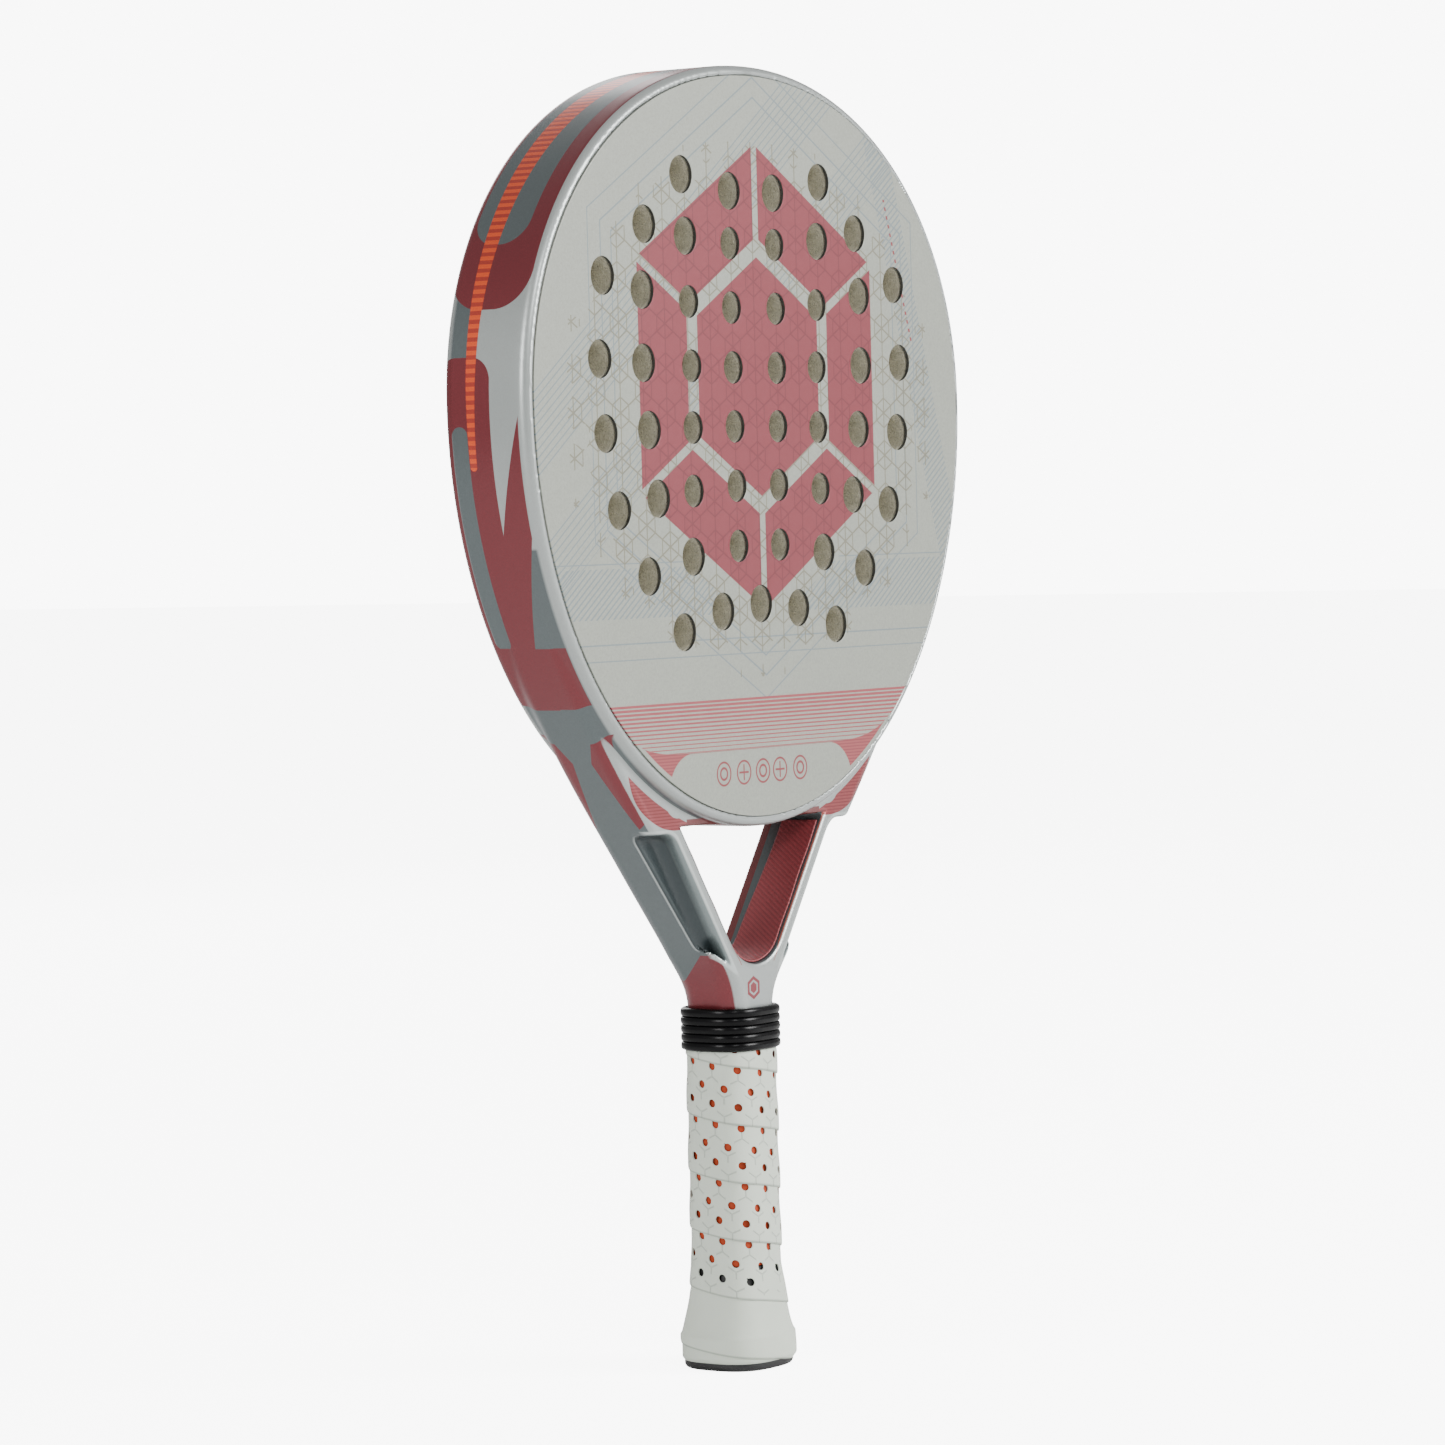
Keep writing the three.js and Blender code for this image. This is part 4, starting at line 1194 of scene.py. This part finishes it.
# %% Face paint: five plain badges and thin dashes
badge = None
for place, badge_x in enumerate((-24.9, -13.0, -1.6, 8.7, 21.0)):
    u = fx - badge_x
    v = fz - 209.8
    size = (u * u + v * v).node("SQRT")
    mark = abs(size - 4.0) - 0.36
    if place % 2 == 0:
        mark = mark.least(abs(size - 2.0) - 0.42)
    else:
        mark = mark.least((abs(u).least(abs(v)) - 0.36).most(size - 2.8))
    badge = mark if badge is None else badge.least(mark)
dash_across = fx * 0.955 + (fz - 385) * 0.30 - 86
dashes = abs(dash_across) - 0.5
dashes = dashes.most(abs(fz - 385) - 26, 0.9 - fz.repeat(3.1))
paint = face.mix(paint, rgb(128, 52, 56), badge.least(dashes).ink(0.15))
face.colour(paint)
face.bump(grain * 0.6 + line_art.ink(0.3) * 0.25 + lattice_shown * 0.25, 0.035)
print("face paint nodes:", len(face.tree.nodes))

# %% The cut edge of the laminate
edge = Finish("laminate_edge", roughness=0.6)
layers = edge.place()[1].repeat(0.3) - 0.06
edge.colour(edge.mix(rgb(38, 38, 36), rgb(84, 84, 78), layers.ink(0.08)))
for skin in (front_face, back_face):
    dress(skin, face)
    skin.data.materials.append(edge.material)
    normals = np.empty(3 * len(skin.data.polygons))
    centres = np.empty(3 * len(skin.data.polygons))
    skin.data.polygons.foreach_get("normal", normals)
    skin.data.polygons.foreach_get("center", centres)
    centres = centres.reshape(-1, 3) / MM
    inside_field = head_distance(centres[:, 0], centres[:, 2]) < -8
    steep = (np.abs(normals.reshape(-1, 3)[:, 1]) < 0.35) & inside_field
    skin.data.polygons.foreach_set("material_index", steep.astype(np.int32))
    print(skin.name, "cut faces:", int(steep.sum()))

# %% [markdown]
# ## The painted frame
#
# The side wall carries rose and grey shapes and an orange striped band. They follow the rim, so each
# point of the frame stores how far round the rim it lies, from the top. The patterns then use that
# run and the depth through the racket.

# %% How far round the rim each point lies
above = head_ring(0, 2000)
above = above[(above[:, 0] >= 0) & (above[:, 1] >= join_z)]
below = arm_line[::-1][1:]
below = below[below[:, 1] >= neck_bottom]
outline = np.vstack([above, below])
outline_run = np.concatenate([[0], np.cumsum(np.linalg.norm(np.diff(outline, axis=0), axis=1))])
outline_turn = np.arctan2(outline[:, 0], outline[:, 1] - head_centre)
co = np.empty(3 * len(moulded_frame.data.vertices))
moulded_frame.data.vertices.foreach_get("co", co)
co = co.reshape(-1, 3) / MM
point_turn = np.arctan2(np.abs(co[:, 0]), co[:, 2] - head_centre)
run = moulded_frame.data.attributes.new("rim_run", "FLOAT", "POINT")
run.data.foreach_set("value", np.interp(point_turn, outline_turn, outline_run).astype(np.float32))
inset = moulded_frame.data.attributes.new("outline_inset", "FLOAT", "POINT")
half_there = np.interp(co[:, 2], arm_line[:, 1], arm_line[:, 0])
inset.data.foreach_set("value", (half_there - np.abs(co[:, 0])).astype(np.float32))
gap = moulded_frame.data.attributes.new("head_gap", "FLOAT", "POINT")
gap.data.foreach_set("value", head_distance(co[:, 0], co[:, 2]).astype(np.float32))
recess = moulded_frame.data.attributes.new("pocket_gap", "FLOAT", "POINT")
recess.data.foreach_set("value", pocket_distance(*co.T).astype(np.float32))
print(f"rim runs {outline_run[-1]:.0f} mm from the top to the neck")

# %% Frame paint: the side wall
painted = Finish("frame_paint", roughness=0.36, metallic=0.55, coat=0.35, coat_roughness=0.18)
px, py, pz = painted.place()
_, ny, _ = painted.place("Normal")


def stored(finish, name):
    item = finish.tree.nodes.new("ShaderNodeAttribute")
    item.attribute_name = name
    return Field(finish.tree, item.outputs["Fac"])


rim_run = stored(painted, "rim_run")
outline_inset = stored(painted, "outline_inset")
head_gap = stored(painted, "head_gap")
pocket_gap = stored(painted, "pocket_gap")
flake = painted.noise(1700, 3.0, 0.7)


def round_slot(along, across, start, end, middle, half, corner):
    """Signed distance to a rounded bar from start to end, half wide to each side of middle."""
    u = (abs(along - (start + end) / 2) - ((end - start) / 2 - corner)).most(0)
    v = (abs(across - middle) - (half - corner)).most(0)
    return (u * u + v * v).node("SQRT") - corner


loop_outer = round_slot(rim_run, py, -60, 164, 1.6, 16.9, 14)
loop_slot = round_slot(rim_run, py, -60, 140.5, 3.0, 11.2, 10)
loop = loop_outer.most(-loop_slot)
lower_rose = round_slot(rim_run, py, 180, 330, 9.4, 11.3, 8)
lower_rose = lower_rose.most(rim_run - 306)
spike = (13.6 + py) * -1
spike = spike.most((py + 14.2) * 3.4 + 198 - rim_run, rim_run - 306)
spike = spike.most(rim_run - 243 - (py + 13) * 3.4)
block = abs(rim_run - 293.5) - 12.2
block = block.most(abs(py - 1.5) - 15.8)
lower_slot = round_slot(rim_run, py, 203, 282, 11.2, 3.3, 3.2)
lower = lower_rose.least(spike).most(-lower_slot).least(block)
mirror_y = abs(py)
polygon = (320.5 - rim_run).most(rim_run - 360 + (mirror_y - 8) * 0.3, mirror_y - 15.8)
polygon = polygon.most(7.0 - mirror_y - (rim_run - 322) * 0.42).most(rim_run - 344 - (mirror_y - 6.4) * 6)
neck_patch = 421 + (py + 4) * 1.0 - rim_run
neck_patch = neck_patch.most(-12.4 - py, 420 - rim_run).least((433 - rim_run).most(-12.4 - py))
rose_side = loop.least(lower, polygon, neck_patch)
rose_side = rose_side.most((outline_inset - 5).least(rim_run - 308))
side_facing = (abs(ny) - 0.72).ink(0.06)

BAND_END = 216.5
band_half = 4.6 - (rim_run - 60).most(0) * 0.021
band_middle = 4.6 + (rim_run - 60) * 0.011
past_end = (rim_run - BAND_END).most(0)
round_end = (past_end * past_end + (py - 6.3) * (py - 6.3)).node("SQRT") - 1.4
band = (abs(py - band_middle) - band_half).most(rim_run - BAND_END).least(round_end)
band_stripes = (rim_run.repeat(3.0) - 0.72).ink(0.2)

grey_paint = painted.shaded(STEEL_GREY, flake * 0.3 + 0.85)
silver_paint = painted.shaded(rgb(158, 163, 161), flake * 0.24 + 0.87)
silver_part = (rim_run - 245).most(150 - rim_run, py - 4)
wall_paint = painted.mix(grey_paint, silver_paint, (abs(py) * -1 + 14.6).ink(1.2))
wall_paint = painted.mix(wall_paint, silver_paint, silver_part.ink(1.0))
rose_wall = painted.shaded(DEEP_ROSE, flake * 0.2 + 0.9)
wall_paint = painted.mix(wall_paint, rose_wall, rose_side.ink(0.25))
orange_band = painted.mix(ORANGE, BURNT_ORANGE, band_stripes)
wall_paint = painted.mix(wall_paint, orange_band, band.ink(0.25))

# %% Frame paint: the arms' fronts and the throat
arm_side = abs(px)
crescent_arm = ((arm_side - 46) * (arm_side - 46) + (pz - 219.5) * (pz - 219.5)).node("SQRT") - 28
crescent_arm = crescent_arm.most(3.4 - head_gap, 1.2 - outline_inset, 191 - pz)
notch = ((arm_side - 45) * (arm_side - 45) + (pz - 203) * (pz - 203)).node("SQRT") - 7.4
crescent_arm = crescent_arm.most(-notch)
arm_ribs = (pz.repeat(1.15) - 0.22).ink(0.2)
ribbed_rose = painted.mix(rgb(142, 64, 66), rgb(118, 44, 48), arm_ribs)
front_paint = painted.mix(silver_paint, ribbed_rose, crescent_arm.ink(0.2))
small_mark = hexagon(px, pz, (-2.9, 133.8), 3.6)
small_mark = small_mark.most(-(abs(small_mark + 1.5) - 0.35))
front_paint = painted.mix(front_paint, rgb(128, 50, 56), small_mark.ink(0.15))
body_paint = painted.mix(front_paint, wall_paint, side_facing)

throat_wall = arm_side - (THROAT_TOP_HALF_WIDTH + 1.2 + (pz - throat_top) * float(throat_slope))
inner = throat_wall.most(throat_bottom - 2 - pz).most(pz - throat_top - 6)
inner_rose = inner.most(8.6 - py)
under_bridge = (head_bottom - 1.5 - pz).most(pz - head_bottom - 4.5, arm_side - 40, abs(abs(py) - 9) - 5.2)
body_paint = painted.mix(body_paint, rgb(110, 52, 52), inner_rose.least(under_bridge).ink(0.3))
# Painted shade in the pocket: its paint darkens from the open front towards the floor, deeper is darker, and
# the floor is painted dark.
recess_wall = painted.shaded(rgb(122, 132, 132), flake * 0.3 + 0.85)
recess_floor_shade = painted.shaded(rgb(46, 55, 57), flake * 0.3 + 0.85)
recess_painted_shade = painted.mix(recess_floor_shade, recess_wall, (py + 9.0).ink(3.2))
body_paint = painted.mix(body_paint, recess_painted_shade, (pocket_gap - 0.55).ink(0.4))
# Painted highlight: a pale line along the pocket's lip, where the surface turns partly to the front or back.
lip_highlight = (abs(pocket_gap - 1.15) - 0.5).most(0.3 - abs(ny))
body_paint = painted.mix(body_paint, rgb(178, 184, 182), lip_highlight.ink(0.4))
thin_edge = abs(throat_wall + 0.9) - 0.2
thin_edge = thin_edge.most(abs(py + 12.2) - 0.6, pz - throat_top, throat_bottom - pz)
body_paint = painted.mix(body_paint, rgb(150, 78, 66), thin_edge.ink(0.3))
painted.colour(body_paint)
painted.bump(flake, 0.02)
dress(moulded_frame, painted)
dress(frame_shaft, painted)
print("frame paint nodes:", len(painted.tree.nodes))

# %% [markdown]
# ## The other finishes
#
# The core is speckled foam. The ply is ribbed cloth under resin. The tape is dry, slightly matt
# polyurethane with pressed honeycomb corners. Each gets its grain at the size of the real one.

# %% Foam, ply and plastics
def plain_finish(name, colour, dark, scale, relief, roughness, **more):
    """A moulded or foamed material: two tones by cloudy noise, with relief from the same noise."""
    finish = Finish(name, roughness, **more)
    lumps = finish.noise(scale, 4.0, 0.65)
    finish.colour(finish.mix(dark, colour, lumps))
    finish.bump(lumps, relief)
    return finish


core_finish = Finish("core_foam", roughness=0.95)
speck = core_finish.cells(1500)
blotch = core_finish.noise(420, 4.0, 0.7)
foam_paint = core_finish.mix(rgb(146, 142, 122), rgb(212, 208, 188), blotch)
foam_paint = core_finish.mix(foam_paint, rgb(84, 80, 64), (speck - 0.2).ink(0.1) * 0.55)
core_finish.colour(foam_paint)
core_finish.bump(speck, 0.25)
dress(foam_core, core_finish)

weave = Finish("rose_weave", roughness=0.5, coat=0.15, coat_roughness=0.3)
wu, wv, _ = weave.place("UV")
rib_coordinate = wu * 0.82 + wv * 0.57
ribs = rib_coordinate.repeat(1.5) / 0.75
threads = (wv * 0.82 - wu * 0.57).repeat(0.7) / 0.35
weave.colour(weave.mix(rgb(118, 44, 48), rgb(148, 64, 68), ribs * 0.7 + threads * 0.3))
weave.bump(ribs * 0.8 + threads * 0.2, 0.12)
dress(throat_ply, weave)

rubber = plain_finish("black_rubber", rgb(5, 5, 6), rgb(2, 2, 3), 260, 0.05, 0.26, specular=0.16)
plastic = plain_finish("black_plastic", rgb(22, 22, 24), rgb(11, 11, 12), 900, 0.04, 0.5)
cushion_finish = plain_finish("rust_cushion", rgb(190, 66, 20), rgb(140, 42, 12), 800, 0.15, 0.8)
white_foam = plain_finish("white_foam", rgb(236, 236, 230), rgb(206, 206, 200), 900, 0.3, 0.95)
cast_foam = plain_finish("cast_foam", rgb(206, 190, 146), rgb(176, 160, 118), 600, 0.25, 0.9)
wire = plain_finish("staple_steel", rgb(196, 198, 202), rgb(160, 162, 166), 1200, 0.02, 0.3, metallic=0.9)
end_tape = plain_finish("end_tape", rgb(178, 182, 172), rgb(160, 164, 156), 500, 0.03, 0.6)
dress(rubber_collar, rubber)
dress(end_cap, plastic)
dress(cushion, cushion_finish)
for node, finish in {
    "tube_foam_left": white_foam,
    "tube_foam_right": white_foam,
    "bridge_foam": white_foam,
    "handle_pallet_front": cast_foam,
    "handle_pallet_back": cast_foam,
    "cap_staple_right": wire,
    "cap_staple_back": wire,
    "cap_staple_left": wire,
    "cap_staple_front": wire,
    "finishing_tape": end_tape,
}.items():
    dress(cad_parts[node], finish)

# %% The white tape
tape = Finish("white_overgrip", roughness=0.62, specular=0.4, sheen=0.15)
tu, tv, _ = tape.place("UV")
pore = tape.noise(2600, 3.0, 0.6)
soft = tape.noise(70, 3.0, 0.5)
presses = None
half_gap = PERFORATION_GAP / 2
for press_row, press_shift, way in ((15.6, 0.0, 1), (2.4, half_gap, -1), (9.1, half_gap, -1)):
    u = tu.repeat(PERFORATION_GAP, press_shift)
    v = (tv - press_row) * way
    stem = (u - 0.2).most(-v, v - 2.3)
    arms = (abs(u * 0.5 + v * 0.8660) - 0.2).most(v, u - 2.6)
    press = stem.least(arms)
    presses = press if presses is None else presses.least(press)
tape_z = tape.place()[2]
presses = presses.most(26 - tape_z).ink(0.4)
tape_paint = tape.mix(rgb(190, 197, 184), rgb(202, 209, 196), soft)
tape_paint = tape.mix(tape_paint, rgb(140, 146, 138), presses * 0.6)
edge_shade = (tv - 0.55).ink(0.5) * 0.6
tape_paint = tape.mix(tape_paint, rgb(118, 126, 116), edge_shade)
tape.colour(tape_paint)
tape.bump(pore * 0.18 + soft * 0.5 - presses, 0.16)
dress(wound_tape, tape)

# %% The two boxes, and the end
visual_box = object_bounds()
boxes = {
    "cad": [list(corner) for corner in cad_box],
    "visual": [list(corner) for corner in visual_box],
}
for name, (low, high) in boxes.items():
    print(name, "box in mm:", np.round((np.array(high) - np.array(low)) / MM, 1))
